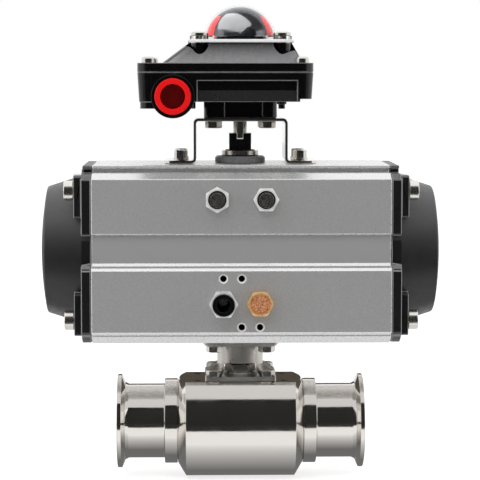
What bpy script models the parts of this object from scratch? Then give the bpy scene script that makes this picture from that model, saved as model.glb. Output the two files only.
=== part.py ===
"""Pneumatic ball valve: a two-inch clamp-ended ball valve, a spring-return rack and pinion actuator
and a switch box on top. Metres, +Z up, X along the pipe. The origin is the centre of the ball."""

import math

import bmesh
import bpy
from mathutils import Matrix, Vector

# Clearances and mesh fineness
GAP = 0.0003  # between pieces that seat on, or fit into, each other
BALL_GAP = 0.0005  # between the ball and its seats, whose faces are flat between their edges
PAST = 0.002  # how far a cutter runs past the face that it opens
SINK = 0.001  # how deep a shape runs into the one that it is joined to
FINE = 24  # sides of the actuator's bore, the pinion's bushes and the holes that they are in
ROUND = 20  # sides of the valve's turned parts
MIDDLE = 12  # sides of shafts and rings
SMALL = 8  # sides of screw heads and small round parts
CROWN_STEPS = 3
THREAD = 6  # sides of hidden shanks and the holes that they are in

# Ball, seats and pipe
BALL_RADIUS = 0.0262
BALL_BORE_RADIUS = 0.0180
SEAT_LIP_RADIUS = 0.0235
SEAT_LENGTH = 0.0130
SEAT_SET = 0.0009
BODY_TOP_WALL = 0.0032
FLAT_DEPTH = 0.00765
BODY_STRAIGHT_HALF = 0.0370
BODY_NOSE_WALL = 0.0017
BODY_HALF = 0.0425
TUBE_RADIUS = 0.0254
TUBE_WALL = 0.00165
COLLAR_WALL = 0.0022
COLLAR_LENGTH = 0.0087
FERRULE_RADIUS = 0.0320
FERRULE_RIM = 0.00285
FERRULE_TAPER = 0.0048
FERRULE_SWELL = 0.0012
FACE_HALF = 0.0837
GROOVE_RADIUS = 0.02815
GROOVE_HALF_WIDTH = 0.0022
GROOVE_DEPTH = 0.0015

# Stem and its seal
STEM_RADIUS = 0.0065
STEM_SQUARE = 0.0110
TANG_LENGTH = 0.0160
TANG_WIDTH = 0.0060
TANG_DEPTH = 0.0055
TANG_CORNER = 0.0015
SQUARE_DROP = 0.0040
STEM_LEDGE = 0.0017
BOSS_RADIUS = 0.0105
BOSS_HEIGHT = 0.0030
PACKING_RADIUS = 0.0087
PACKING_SINK = 0.0010
PACKING_PROUD = 0.0010
GLAND_NUT_FLATS = 0.0180
GLAND_NUT_HEIGHT = 0.0058

# Valve bracket
BOLT_SQUARE_HALF = 0.01768  # the 50 mm circle's four holes, as a square
FLANGE_HALF_X = 0.0240
FLANGE_HALF_Y = 0.0220
FLANGE_THICK = 0.0040
FLANGE_CORNER = 0.0015
FLANGE_CHAMFER = 0.0070
FLANGE_TOP_HALF_X = 0.0165
FLANGE_RISE = 0.0055
NECK_RADIUS = 0.0156
NECK_WALL = 0.0028
WINDOW_HALF = 0.0113
WINDOW_HEIGHT = 0.0083
WINDOW_CORNER = 0.0030
TOP_PLATE_HALF = 0.02525
TOP_PLATE_THICK = 0.0052
TOP_PLATE_CHAMFER = 0.0015
TOP_PLATE_CORNER = 0.0040
VALVE_BRACKET_HEIGHT = 0.0299
M6_RADIUS = 0.0030
M6_FLATS = 0.0100
M6_HEAD = 0.0041
M6_DEPTH = 0.0075
SPARE_HOLE_X = 0.0292
SPARE_HOLE_Y = 0.0155
SPARE_HOLE_RADIUS = 0.0021

# Actuator body
CYLINDER_RADIUS = 0.0460
BORE_FLOOR = 0.0125
BORE_ROOF = 0.0130
BODY_LENGTH = 0.1972
EDGE_ROUND = 0.0012
RAIL_HALF = 0.0350
RAIL_HEIGHT = 0.0030
RAIL_GROOVE = 0.0012
RAIL_UNDERCUT = 0.0004
SHOULDER_DROP = 0.0050
SHOULDER_SLOPE = 0.0080
UPPER_PAD_HALF = 0.0530
UPPER_PAD_DROP = 0.0085
BAND_HALF = 0.0500
BAND_TOP = 0.0729
BAND_BOTTOM = 0.0536
BAND_STEP = 0.0008
LOWER_PAD_HALF = 0.0570
LOWER_PAD_TOP = 0.0492
LOWER_PAD_BOTTOM = 0.0084
SKIRT_HEIGHT = 0.0028
SKIRT_IN = 0.0050
PORT_SPACING = 0.0240
PORT_RISE = 0.0280
PORT_RADIUS = 0.0065
PORT_DEPTH = 0.0110
PILOT_RADIUS = 0.0021
PILOT_RISE = 0.0160
NAMUR_X = 0.0400
NAMUR_Y = 0.0150

# End caps
CAP_FLANGE = 0.0062
CAP_BOSS = 0.0050
CAP_INSET = 0.0005
CAP_BOSS_HEIGHT = 0.0280
CAP_BOSS_SHIFT = 0.0040
CAP_BOSS_MARGIN = 0.0020
CAP_NOTCH = 0.0030
CAP_NOTCH_LOW = 0.0050
CAP_NOTCH_HIGH = 0.0135
CAP_DOME_RADIUS = 0.0510
CAP_EDGE_RADIUS = 0.0430
CAP_CROWN = 0.0040
CAP_LENGTH = 0.0357
CAP_WALL = 0.0060
CAP_DRAFT = 0.0012
CAP_SCREW_Y = 0.0460
CAP_SCREW_Z = 0.0428
CAP_SCREW_RADIUS = 0.0040
CAP_SCREW_HEAD_RADIUS = 0.0065
CAP_SCREW_HEAD = 0.0062
CAP_SCREW_DEPTH = 0.0140
CAP_SCREW_KEY = 0.0060
CAP_SCREW_KEY_DEPTH = 0.0037

# Rack and pinion
MODULE = 0.0020
TEETH = 16
BACKLASH = 0.00025
PRESSURE_ANGLE = math.radians(20)
ADDENDUM = 0.9 * MODULE
DEDENDUM = 1.25 * MODULE
GEAR_HALF = 0.0140
RACK_TEETH = 7
RACK_BACK = 0.0360
PINION_RADIUS = 0.0130
JOURNAL_PAST = 0.0020
JOURNAL_CONE = 0.0025
LOWER_JOURNAL_RADIUS = 0.0155
UPPER_JOURNAL_RADIUS = 0.0120
BEARING_WALL = 0.0025
BEARING_LENGTH = 0.0105
SOCKET_DEPTH = 0.0200
CAM_DROP = 0.0217
CAM_THICK = 0.0056
CAM_LOBE_HALF = 0.0080
CAM_LOBE_LENGTH = 0.0205
CAM_ROUND = 0.0020
STOP_X = 0.0160
STOP_RADIUS = 0.0050
STOP_NUT_FLATS = 0.0148
STOP_NUT_HEIGHT = 0.0050
STOP_END = 0.0035
STOP_CHAMFER = 0.0012
THRUST_RING_RADIUS = 0.0170
THRUST_RING_HEIGHT = 0.0045
THRUST_RING_CHAMFER = 0.0012
RETAINING_RING_RADIUS = 0.0125
RETAINING_RING_HEIGHT = 0.0033
RETAINING_GROOVE = 0.0020
RETAINING_MOUTH_HALF = 0.0072
PINION_SQUARE = 0.0148
PINION_CORNER = 0.0006
PINION_TOP = 0.0200  # the square's top above the body, to the common mounting standard
DRIVE_SLOT = 0.0044
DRIVE_SLOT_DEPTH = 0.0040

# Pistons and springs
PISTON_INNER = 0.0420
PISTON_THICK = 0.0140
PISTON_CUP_RADIUS = 0.0360
PISTON_CUP_DEPTH = 0.0030
SEAL_WIDTH = 0.0036
SEAL_DEPTH = 0.0026
SEAL_PROUD = 0.0001
SPRING_RADIUS = 0.0280
SPRING_WIRE_RADIUS = 0.0030
SPRING_TURNS = 4

# Push-in fitting and silencer
HEX_FLATS = 0.0165
FITTING_LENGTH = 0.0100
TUBE_SOCKET_RADIUS = 0.0041
TUBE_SOCKET_DEPTH = 0.0033
AIR_WAY_RADIUS = 0.0029
COLLET_RADIUS = 0.0073
COLLET_SLEEVE_RADIUS = 0.0053
COLLET_FLANGE = 0.0018
COLLET_TRAVEL = 0.0010
COLLET_LENGTH = 0.0060
COLLET_CHAMFER = 0.0005
SILENCER_FLATS = 0.0160
SILENCER_HEX = 0.0070
SILENCER_DISC_RADIUS = 0.0063
SILENCER_DISC = 0.0012

# Switch bracket
PLATE = 0.0020
LEG_OUTER_X = 0.0316
FOOT_END_X = 0.0510
BRACKET_HALF_Y = 0.0230
BRACKET_HEIGHT = 0.0302
BEND_RADIUS = 0.0035
BRACKET_CORNER = 0.0060
BRACKET_HOLE_RADIUS = 0.0090
FOOT_SCREW_RADIUS = 0.0025
FOOT_SCREW_FLATS = 0.0080
FOOT_SCREW_HEAD = 0.0055
FOOT_WASHER_RADIUS = 0.0052
FOOT_WASHER = 0.0010
FOOT_SCREW_DEPTH = 0.0080

# Switch box
BOX_LEFT = -0.0683
BOX_RIGHT = 0.0475
BOX_HALF_Y = 0.0480
BOX_CORNER = 0.0090
BOX_DRAFT = 0.0012
BOX_WALL = 0.0030
BOX_MOUNT_HEIGHT = 0.0110
BOX_MOUNT_HALF_X = 0.0245
BOX_MOUNT_HALF_Y = 0.0190
BOX_MOUNT_CORNER = 0.0050
BASE_HEIGHT = 0.0193
BASE_STEP = 0.0045
STEP_INSET = 0.0006
LEFT_PART_RIGHT = -0.0301
CABLE_X = -0.0449
CABLE_RISE = 0.0036
CABLE_BOSS_RADIUS = 0.0143
CABLE_BOSS_PROUD = 0.0015
CABLE_BOSS_DEPTH = 0.0300
PLUG_RADIUS = 0.0119
PLUG_THREAD_RADIUS = 0.0095
PLUG_RECESS_RADIUS = 0.0081
PLUG_FLANGE = 0.0030
PLUG_CHAMFER = 0.0005
PLUG_LENGTH = 0.0120
PLUG_FLOOR = 0.0025
PANEL_LEFT = -0.0290
PANEL_RIGHT = 0.0367
PANEL_DEPTH = 0.0030
PANEL_HEIGHT = 0.0140
PANEL_LIP = 0.0018
PANEL_SLOPE = 0.0075
RIGHT_STEP = 0.0018
LID_FLANGE = 0.0059
LID_RISE = 0.0135
LID_FOOT_HALF_Y = 0.0390
LID_FOOT_LEFT = -0.0520
LID_FOOT_RIGHT = 0.0410
LID_HOLLOW_CORNER = 0.0050
DOME_HALF = 0.0340
DOME_CORNER = 0.0080
DOME_SCREW = 0.0273
DOME_PILLAR_RADIUS = 0.0055
DOME_POCKET_RADIUS = 0.0095
DOME_POCKET_DEPTH = 0.0085
DOME_FLANGE = 0.0040
DOME_RADIUS = 0.0251
DOME_WALL = 0.0020
DOME_FOOT_ANGLE = math.radians(8)
DOME_STEPS = 5
DOME_SCREW_SHANK = 0.0042
DOME_SCREW_RADIUS = 0.0058
DOME_SCREW_HEAD = 0.0024
INDICATOR_GAP = 0.0008
LID_SCREW_RADIUS = 0.0046
LID_SCREW_HEIGHT = 0.0040
LID_SCREW_INSET = 0.0075
BOX_SCREW_X = 0.0180
BOX_SCREW_Y = 0.0125
BOX_SCREW_RADIUS = 0.0029
BOX_SCREW_HEAD = 0.0045
SWITCH_SHAFT_RADIUS = 0.0046
SWITCH_SHAFT_RISE = 0.0100
DRIVE_BLADE_HALF = 0.0039
CAM_RADIUS = 0.0130
CAM_HEIGHT = 0.0080
CAM_LIFT = 0.0030
CAM_LOBE = 0.0026
BOARD_THICK = 0.0020
BOARD_MARGIN = 0.0050
BOARD_CORNER = 0.0020
SENSOR_GAP = 0.0030
SENSOR_LENGTH = 0.0180
SENSOR_WIDTH = 0.0100
SENSOR_SPACING = 0.0140
SENSOR_HEIGHT = 0.0120
TERMINAL_WIDTH = 0.0090

# Heights that follow from the sizes above
BODY_BORE_RADIUS = BALL_RADIUS + 2 * GAP
BODY_NOSE_RADIUS = BODY_BORE_RADIUS + BODY_NOSE_WALL
COLLAR_RADIUS = BODY_BORE_RADIUS + COLLAR_WALL
SEAT_BACK = BALL_RADIUS - SEAT_SET
BODY_FLAT_Z = BODY_BORE_RADIUS + BODY_TOP_WALL
BODY_RADIUS = BODY_FLAT_Z + FLAT_DEPTH
ACTUATOR_BOTTOM = BODY_FLAT_Z + VALVE_BRACKET_HEIGHT
BOSS_TOP = BODY_FLAT_Z + BOSS_HEIGHT
PACKING_FLOOR = BODY_FLAT_Z - PACKING_SINK
PACKING_TOP = BOSS_TOP + PACKING_PROUD
STEM_POCKET_TOP = PACKING_FLOOR - STEM_LEDGE
TANG_TOP = STEM_POCKET_TOP - 2 * GAP
FLANGE_BOTTOM = BODY_FLAT_Z + GAP
FLANGE_TOP = FLANGE_BOTTOM + FLANGE_THICK
TOP_PLATE_TOP = ACTUATOR_BOTTOM - GAP
TOP_PLATE_BOTTOM = TOP_PLATE_TOP - TOP_PLATE_THICK
BORE_Z = ACTUATOR_BOTTOM + BORE_FLOOR + CYLINDER_RADIUS
BODY_HEIGHT = BORE_FLOOR + 2 * CYLINDER_RADIUS + BORE_ROOF
ACTUATOR_TOP = ACTUATOR_BOTTOM + BODY_HEIGHT
BODY_END = BODY_LENGTH / 2
PITCH_RADIUS = MODULE * TEETH / 2
PORT_Z = ACTUATOR_BOTTOM + PORT_RISE
STOP_Z = ACTUATOR_TOP - CAM_DROP
BRACKET_BOTTOM = ACTUATOR_TOP + GAP
BRACKET_TOP = BRACKET_BOTTOM + BRACKET_HEIGHT
BOX_MOUNT_BOTTOM = BRACKET_TOP + GAP
BOX_BOTTOM = BOX_MOUNT_BOTTOM + BOX_MOUNT_HEIGHT
SEAM_Z = BOX_BOTTOM + BASE_HEIGHT
LID_BOTTOM = SEAM_Z + GAP
LID_SHELF = LID_BOTTOM + LID_FLANGE
LID_TOP = LID_SHELF + LID_RISE
DOME_BOTTOM = LID_TOP + GAP
BOX_FRONT = -BOX_HALF_Y
CABLE_Z = BOX_BOTTOM + CABLE_RISE
CABLE_BOSS_FACE = BOX_FRONT - CABLE_BOSS_PROUD
SHAFT_TOP = DOME_BOTTOM + SWITCH_SHAFT_RISE


def material(name, colour, roughness, metallic, alpha=1.0):
    """A Principled material."""
    made = bpy.data.materials.new(name)
    made.use_nodes = True
    shader = made.node_tree.nodes["Principled BSDF"]
    shader.inputs["Base Color"].default_value = (*colour, 1.0)
    shader.inputs["Roughness"].default_value = roughness
    shader.inputs["Metallic"].default_value = metallic
    shader.inputs["Alpha"].default_value = alpha
    return made


def filleted(corners, steps=3):
    """The outline through (x, y, radius) corners, each rounded by its radius."""
    points = []
    for index, (x, y, radius) in enumerate(corners):
        here = Vector((x, y))
        if radius == 0:
            points.append((x, y))
            continue
        before = Vector(corners[index - 1][:2]) - here
        after = Vector(corners[(index + 1) % len(corners)][:2]) - here
        half = before.angle(after) / 2
        centre = here + (before.normalized() + after.normalized()).normalized() * radius / math.sin(half)
        start = here + before.normalized() * radius / math.tan(half) - centre
        end = here + after.normalized() * radius / math.tan(half) - centre
        turn = start.angle_signed(end)
        for step in range(steps + 1):
            spoke = start.copy()
            spoke.rotate(Matrix.Rotation(-turn * step / steps, 2))
            points.append(tuple(centre + spoke))
    return points


def rectangle(left, right, low, high, radius=0.0, steps=2):
    """A rectangle's outline with rounded corners."""
    corners = [(left, low), (right, low), (right, high), (left, high)]
    return filleted([(x, y, radius) for x, y in corners], steps)


def circle(radius, sides, x=0.0, y=0.0):
    """A circle's outline."""
    turns = [2 * math.pi * side / sides for side in range(sides)]
    return [(x + radius * math.cos(turn), y + radius * math.sin(turn)) for turn in turns]


def hexagon(flats, corner_up=True):
    """A hexagon's outline across these flats, with a corner along the first axis or the second."""
    start = math.pi / 2 if corner_up else 0.0
    reach = flats / 2 / math.cos(math.pi / 6)
    turns = [start + math.pi * side / 3 for side in range(6)]
    return [(reach * math.cos(turn), reach * math.sin(turn)) for turn in turns]


def axis_point(axis, along, first, second):
    """A point at this height along X, Y or Z, with the other two coordinates in X, Y, Z order."""
    if axis == "X":
        return (along, first, second)
    if axis == "Y":
        return (first, along, second)
    return (first, second, along)


def solid(name, bm, finish, angle=35):
    """Makes an object of a mesh, with its faces out and its round faces smooth."""
    bmesh.ops.recalc_face_normals(bm, faces=bm.faces)
    mesh = bpy.data.meshes.new(name)
    bm.to_mesh(mesh)
    bm.free()
    mesh.materials.append(finish)
    mesh.shade_smooth()
    mesh.set_sharp_from_angle(angle=math.radians(angle))
    made = bpy.data.objects.new(name, mesh)
    bpy.context.scene.collection.objects.link(made)
    return made


def bridged(bm, low, high):
    """Faces between two loops of as many points."""
    for index in range(len(low)):
        after = (index + 1) % len(low)
        bm.faces.new((low[index], low[after], high[after], high[index]))


def lofted(name, levels, axis, finish, angle=35):
    """A solid through outlines of as many points, each given as (height, outline)."""
    bm = bmesh.new()
    loops = []
    for along, outline in levels:
        loops.append([bm.verts.new(axis_point(axis, along, *point)) for point in outline])
    for low, high in zip(loops, loops[1:]):
        bridged(bm, low, high)
    bm.faces.new(loops[0])
    bm.faces.new(loops[-1])
    return solid(name, bm, finish, angle)


def prism(name, outline, low, high, axis, finish):
    """An outline extruded along an axis."""
    return lofted(name, [(low, outline), (high, outline)], axis, finish)


def turned(name, profile, axis, sides, finish, ring=False, centre=(0.0, 0.0)):
    """A profile of (along, radius) turned about an axis. A ring's profile closes on itself."""
    bm = bmesh.new()
    loops = []
    for along, radius in profile:
        if radius == 0:
            loops.append([bm.verts.new(axis_point(axis, along, *centre))])
        else:
            outline = circle(radius, sides, *centre)
            loops.append([bm.verts.new(axis_point(axis, along, *point)) for point in outline])
    pairs = list(zip(loops, loops[1:]))
    if ring:
        pairs.append((loops[-1], loops[0]))
    for low, high in pairs:
        if len(low) == 1 or len(high) == 1:
            tip, loop = (low[0], high) if len(low) == 1 else (high[0], low)
            for index in range(sides):
                bm.faces.new((tip, loop[index], loop[(index + 1) % sides]))
        else:
            bridged(bm, low, high)
    return solid(name, bm, finish)


def joined(name, pieces, finish):
    """Several shapes that don't meet, as one cutter."""
    bm = bmesh.new()
    for piece in pieces:
        bm.from_mesh(piece.data)
        bpy.data.objects.remove(piece)
    return solid(name, bm, finish)


def combine(target, tool, operation):
    """Joins a tool to the target or cuts it away, and removes the tool."""
    modifier = target.modifiers.new(operation.title(), "BOOLEAN")
    modifier.operation = operation
    modifier.object = tool
    graph = bpy.context.evaluated_depsgraph_get()
    result = bpy.data.meshes.new_from_object(target.evaluated_get(graph))
    result.name = target.name
    target.modifiers.clear()
    target.data = result
    bpy.data.objects.remove(tool)
    while len(result.materials) > 1:
        result.materials.pop()
    result.shade_smooth()
    result.set_sharp_from_angle(angle=math.radians(35))
    return target


def join(target, *tools):
    """Unions each tool with the target."""
    for tool in tools:
        combine(target, tool, "UNION")
    return target


def cut(target, *tools):
    """Cuts each tool from the target."""
    for tool in tools:
        combine(target, tool, "DIFFERENCE")
    return target


def keep(target, tool):
    """Keeps what the tool holds of the target."""
    return combine(target, tool, "INTERSECT")


def copy_of(original, name, location=None, turn=None, axis="Z"):
    """Another object on the same mesh."""
    made = bpy.data.objects.new(name, original.data)
    made.location = location if location is not None else original.location
    if turn is not None:
        made.rotation_euler = Matrix.Rotation(turn, 3, axis).to_euler()
    bpy.context.scene.collection.objects.link(made)
    return made


def empty(name, location):
    """An empty on a joint's axis."""
    made = bpy.data.objects.new(name, None)
    made.location = location
    bpy.context.scene.collection.objects.link(made)
    return made


def hang(parent, *pieces):
    """Parents pieces to an empty and keeps them where they are."""
    for piece in pieces:
        piece.parent = parent
        piece.matrix_parent_inverse = Matrix.Translation(parent.location).inverted()


def corners(half_x, half_y):
    """Four places, front left first and then anticlockwise."""
    return [(-half_x, -half_y), (half_x, -half_y), (half_x, half_y), (-half_x, half_y)]


def rods(name, places, radius, low, high, axis, finish, sides=THREAD):
    """Round cutters at these places."""
    made = [prism("rod", circle(radius, sides, *place), low, high, axis, finish) for place in places]
    return joined(name, made, finish)


def hex_head(name, flats, height, axis, finish, corner_up=True):
    """A hexagon head from 0 to its height."""
    return prism(name, hexagon(flats, corner_up), 0, height, axis, finish)


for startup in list(bpy.data.objects):
    bpy.data.objects.remove(startup)

STEEL = material("polished_steel", (0.62, 0.60, 0.57), 0.12, 1.0)
BOLT = material("bolt_steel", (0.60, 0.58, 0.54), 0.25, 1.0)
ALUMINIUM = material("blasted_aluminium", (0.42, 0.42, 0.42), 0.5, 0.9)
BARE = material("bare_aluminium", (0.70, 0.70, 0.70), 0.3, 1.0)
BLACK = material("black_coating", (0.012, 0.012, 0.013), 0.4, 0.0)
PINION_BLACK = material("black_pinion", (0.01, 0.01, 0.01), 0.35, 0.6)
NICKEL = material("nickel", (0.66, 0.62, 0.56), 0.2, 1.0)
BRASS = material("brass", (0.72, 0.42, 0.16), 0.35, 1.0)
SEAT_WHITE = material("seat_white", (0.85, 0.85, 0.83), 0.4, 0.0)
GREY = material("grey_plastic", (0.28, 0.28, 0.28), 0.5, 0.0)
RUBBER = material("black_rubber", (0.02, 0.02, 0.02), 0.7, 0.0)
SPRING = material("spring_steel", (0.35, 0.30, 0.25), 0.4, 1.0)
RED = material("red_plastic", (0.75, 0.02, 0.02), 0.3, 0.0)
CLEAR = material("clear_dome", (0.9, 0.92, 0.95), 0.03, 0.0, 0.3)
BOARD = material("sensor_grey", (0.05, 0.12, 0.25), 0.5, 0.0)


def valve_body():
    """The turned centre of the valve, bored through, with a flat and a stem boss on top."""
    bore = BODY_BORE_RADIUS
    profile = [
        (-BODY_HALF, bore),
        (-BODY_HALF, BODY_NOSE_RADIUS),
        (-BODY_STRAIGHT_HALF, BODY_RADIUS),
        (BODY_STRAIGHT_HALF, BODY_RADIUS),
        (BODY_HALF, BODY_NOSE_RADIUS),
        (BODY_HALF, bore),
    ]
    body = turned("valve_body", profile, "X", ROUND, STEEL, ring=True)
    over = BODY_HALF + PAST
    block = rectangle(-over, over, -BODY_RADIUS - PAST, BODY_RADIUS + PAST)
    cut(body, prism("flat", block, BODY_FLAT_Z, BODY_RADIUS + PAST, "Z", STEEL))
    join(body, prism("boss", circle(BOSS_RADIUS, MIDDLE), BODY_FLAT_Z - SINK, BOSS_TOP, "Z", STEEL))
    stem_hole = [
        (0, 0),
        (0, TANG_LENGTH / 2 + 2 * GAP),
        (STEM_POCKET_TOP, TANG_LENGTH / 2 + 2 * GAP),
        (STEM_POCKET_TOP, STEM_RADIUS + GAP),
        (PACKING_FLOOR, STEM_RADIUS + GAP),
        (PACKING_FLOOR, PACKING_RADIUS + GAP),
        (BOSS_TOP + PAST, PACKING_RADIUS + GAP),
        (BOSS_TOP + PAST, 0),
    ]
    cut(body, turned("stem_hole", stem_hole, "Z", MIDDLE, STEEL))
    taps = corners(BOLT_SQUARE_HALF, BOLT_SQUARE_HALF)
    tap_floor = BODY_FLAT_Z - M6_DEPTH
    cut(body, rods("taps", taps, M6_RADIUS + GAP, tap_floor, BODY_FLAT_Z + PAST, "Z", STEEL))
    spares = corners(SPARE_HOLE_X, SPARE_HOLE_Y)
    spare_floor = BODY_FLAT_Z - SPARE_HOLE_RADIUS * 2
    cut(body, rods("spares", spares, SPARE_HOLE_RADIUS, spare_floor, BODY_FLAT_Z + PAST, "Z", STEEL))
    return body


def connector():
    """The right-hand pipe end: a threaded spigot, a collar, the tube and its clamp ferrule."""
    tube_bore = TUBE_RADIUS - TUBE_WALL
    collar = BODY_HALF + GAP
    collar_end = collar + COLLAR_LENGTH
    taper = FACE_HALF - FERRULE_RIM
    profile = [
        (SEAT_BACK + GAP, BALL_BORE_RADIUS),
        (SEAT_BACK + GAP, BODY_BORE_RADIUS - GAP),
        (collar, BODY_BORE_RADIUS - GAP),
        (collar, COLLAR_RADIUS),
        (collar_end, COLLAR_RADIUS),
        (collar_end, TUBE_RADIUS),
        (taper - FERRULE_TAPER, TUBE_RADIUS),
        (taper - FERRULE_TAPER / 2, TUBE_RADIUS + FERRULE_SWELL),
        (taper, FERRULE_RADIUS),
        (FACE_HALF, FERRULE_RADIUS),
        (FACE_HALF, GROOVE_RADIUS + GROOVE_HALF_WIDTH),
        (FACE_HALF - GROOVE_DEPTH, GROOVE_RADIUS),
        (FACE_HALF, GROOVE_RADIUS - GROOVE_HALF_WIDTH),
        (FACE_HALF, tube_bore),
        (collar_end, tube_bore),
    ]
    return turned("right_connector", profile, "X", ROUND, STEEL, ring=True)


def ball():
    """The ball at its closed rest, with its bore across the pipe and the stem's slot along it."""
    bm = bmesh.new()
    bmesh.ops.create_uvsphere(bm, u_segments=ROUND, v_segments=ROUND // 2, radius=BALL_RADIUS)
    made = solid("ball", bm, STEEL)
    bore = circle(BALL_BORE_RADIUS, ROUND)
    cut(made, prism("bore", bore, -BALL_RADIUS - PAST, BALL_RADIUS + PAST, "Y", STEEL))
    slot_half = TANG_WIDTH / 2 + GAP
    over = BALL_RADIUS + PAST
    slot = rectangle(-over, over, -slot_half, slot_half)
    slot_floor = TANG_TOP - TANG_DEPTH - GAP
    return cut(made, prism("slot", slot, slot_floor, over, "Z", STEEL))


def seat():
    """The right-hand seat ring, whose inner face follows the ball."""
    reach = BALL_RADIUS + BALL_GAP
    lips = [BALL_BORE_RADIUS + (SEAT_LIP_RADIUS - BALL_BORE_RADIUS) * step / 3 for step in range(4)]
    profile = [(math.sqrt(reach**2 - lip**2), lip) for lip in lips]
    profile += [
        (SEAT_BACK - SEAT_LENGTH, BODY_BORE_RADIUS - GAP),
        (SEAT_BACK, BODY_BORE_RADIUS - GAP),
        (SEAT_BACK, BALL_BORE_RADIUS),
    ]
    return turned("right_seat", profile, "X", ROUND, SEAT_WHITE, ring=True)


def stem():
    """The stem: a tang in the ball's slot, a round shank and a square top in the pinion."""
    square_bottom = TOP_PLATE_BOTTOM - SQUARE_DROP
    shank = circle(STEM_RADIUS, MIDDLE)
    made = prism("stem", shank, TANG_TOP - GAP, square_bottom, "Z", STEEL)
    half = TANG_LENGTH / 2
    tang = rectangle(-half, half, -TANG_WIDTH / 2, TANG_WIDTH / 2, TANG_CORNER, 1)
    join(made, prism("tang", tang, TANG_TOP - TANG_DEPTH, TANG_TOP, "Z", STEEL))
    flat = STEM_SQUARE / 2
    corner = math.sqrt(STEM_RADIUS**2 - flat**2) - GAP / 4
    top = [(flat, corner), (corner, flat), (-corner, flat), (-flat, corner)]
    top += [(-x, -y) for x, y in top]
    square_top = ACTUATOR_BOTTOM + SOCKET_DEPTH - 2 * GAP
    return join(made, prism("square", top, square_bottom - SINK, square_top, "Z", STEEL))


def stem_packing():
    """The stem's seal in the boss."""
    low = PACKING_FLOOR + GAP
    inner = STEM_RADIUS + GAP
    profile = [(low, inner), (low, PACKING_RADIUS), (PACKING_TOP, PACKING_RADIUS), (PACKING_TOP, inner)]
    return turned("stem_packing", profile, "Z", MIDDLE, SEAT_WHITE, ring=True)


def gland_nut():
    """The nut that squeezes the packing, seen in the bracket's window."""
    low = PACKING_TOP + GAP
    nut = hex_head("gland_nut", GLAND_NUT_FLATS, GLAND_NUT_HEIGHT, "Z", BOLT, corner_up=False)
    nut.data.transform(Matrix.Translation((0, 0, low)))
    hole = circle(STEM_RADIUS + GAP, MIDDLE)
    return cut(nut, prism("hole", hole, low - PAST, low + GLAND_NUT_HEIGHT + PAST, "Z", BOLT))


def valve_bracket():
    """The cast bracket: a base flange that rises to a windowed neck, and a top plate."""
    half_x = FLANGE_HALF_X
    half_y = FLANGE_HALF_Y
    plan = [
        (-half_x, -half_y),
        (half_x, -half_y),
        (half_x, half_y - FLANGE_CHAMFER),
        (half_x - FLANGE_CHAMFER, half_y),
        (-half_x + FLANGE_CHAMFER, half_y),
        (-half_x, half_y - FLANGE_CHAMFER),
    ]
    foot = filleted([(x, y, FLANGE_CORNER) for x, y in plan], 1)
    shrink_x = FLANGE_TOP_HALF_X / FLANGE_HALF_X
    shrink_y = NECK_RADIUS / FLANGE_HALF_Y
    head = [(x * shrink_x, y * shrink_y) for x, y in foot]
    levels = [(FLANGE_BOTTOM, foot), (FLANGE_TOP, foot), (FLANGE_TOP + FLANGE_RISE, head)]
    bracket = lofted("valve_bracket", levels, "Z", STEEL)
    neck_low = FLANGE_BOTTOM + SINK
    join(bracket, prism("neck", circle(NECK_RADIUS, ROUND), neck_low, TOP_PLATE_TOP - SINK, "Z", STEEL))
    half = TOP_PLATE_HALF
    plate = rectangle(-half, half, -half, half, TOP_PLATE_CORNER)
    inset = (half - TOP_PLATE_CHAMFER) / half
    under = [(x * inset, y * inset) for x, y in plate]
    levels = [
        (TOP_PLATE_BOTTOM, under),
        (TOP_PLATE_BOTTOM + TOP_PLATE_CHAMFER, plate),
        (TOP_PLATE_TOP, plate),
    ]
    join(bracket, lofted("plate", levels, "Z", STEEL))
    inside = [
        (FLANGE_BOTTOM - PAST, 0),
        (FLANGE_BOTTOM - PAST, BOSS_RADIUS + GAP),
        (FLANGE_TOP - SINK, BOSS_RADIUS + GAP),
        (FLANGE_TOP - SINK, NECK_RADIUS - NECK_WALL),
        (TOP_PLATE_TOP + PAST, NECK_RADIUS - NECK_WALL),
        (TOP_PLATE_TOP + PAST, 0),
    ]
    cut(bracket, turned("inside", inside, "Z", ROUND, STEEL))
    window_low = FLANGE_TOP - SINK
    window_high = window_low + WINDOW_HEIGHT
    window = rectangle(-WINDOW_HALF, WINDOW_HALF, window_low, window_high, WINDOW_CORNER)
    over = FLANGE_HALF_Y + PAST
    cut(bracket, prism("window", window, -over, over, "Y", STEEL))
    places = corners(BOLT_SQUARE_HALF, BOLT_SQUARE_HALF)
    pocket = M6_FLATS / 2 / math.cos(math.pi / 6) + 2 * GAP
    pocket_floor = FLANGE_TOP - SINK
    pocket_top = FLANGE_TOP + FLANGE_RISE + PAST
    cut(bracket, rods("pockets", places, pocket, pocket_floor, pocket_top, "Z", STEEL, SMALL + 2))
    hole = M6_RADIUS + GAP
    low_holes = rods("holes", places, hole, FLANGE_BOTTOM - PAST, FLANGE_TOP + PAST, "Z", STEEL)
    high_holes = rods("holes", places, hole, TOP_PLATE_BOTTOM - PAST, TOP_PLATE_TOP + PAST, "Z", STEEL)
    return cut(bracket, low_holes, high_holes)


def hex_bolt(name, radius, flats, head, length, finish, washer=0.0, washer_radius=0.0):
    """A bolt whose shank runs down from 0, with its head, and its washer if it has one, above."""
    bolt = hex_head(name, flats, head, "Z", finish)
    bolt.data.transform(Matrix.Translation((0, 0, washer)))
    if washer:
        disc = circle(washer_radius, SMALL + 2)
        join(bolt, prism("washer", disc, 0, washer + SINK / 5, "Z", finish))
    return join(bolt, prism("shank", circle(radius, THREAD), -length, SINK, "Z", finish))


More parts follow.
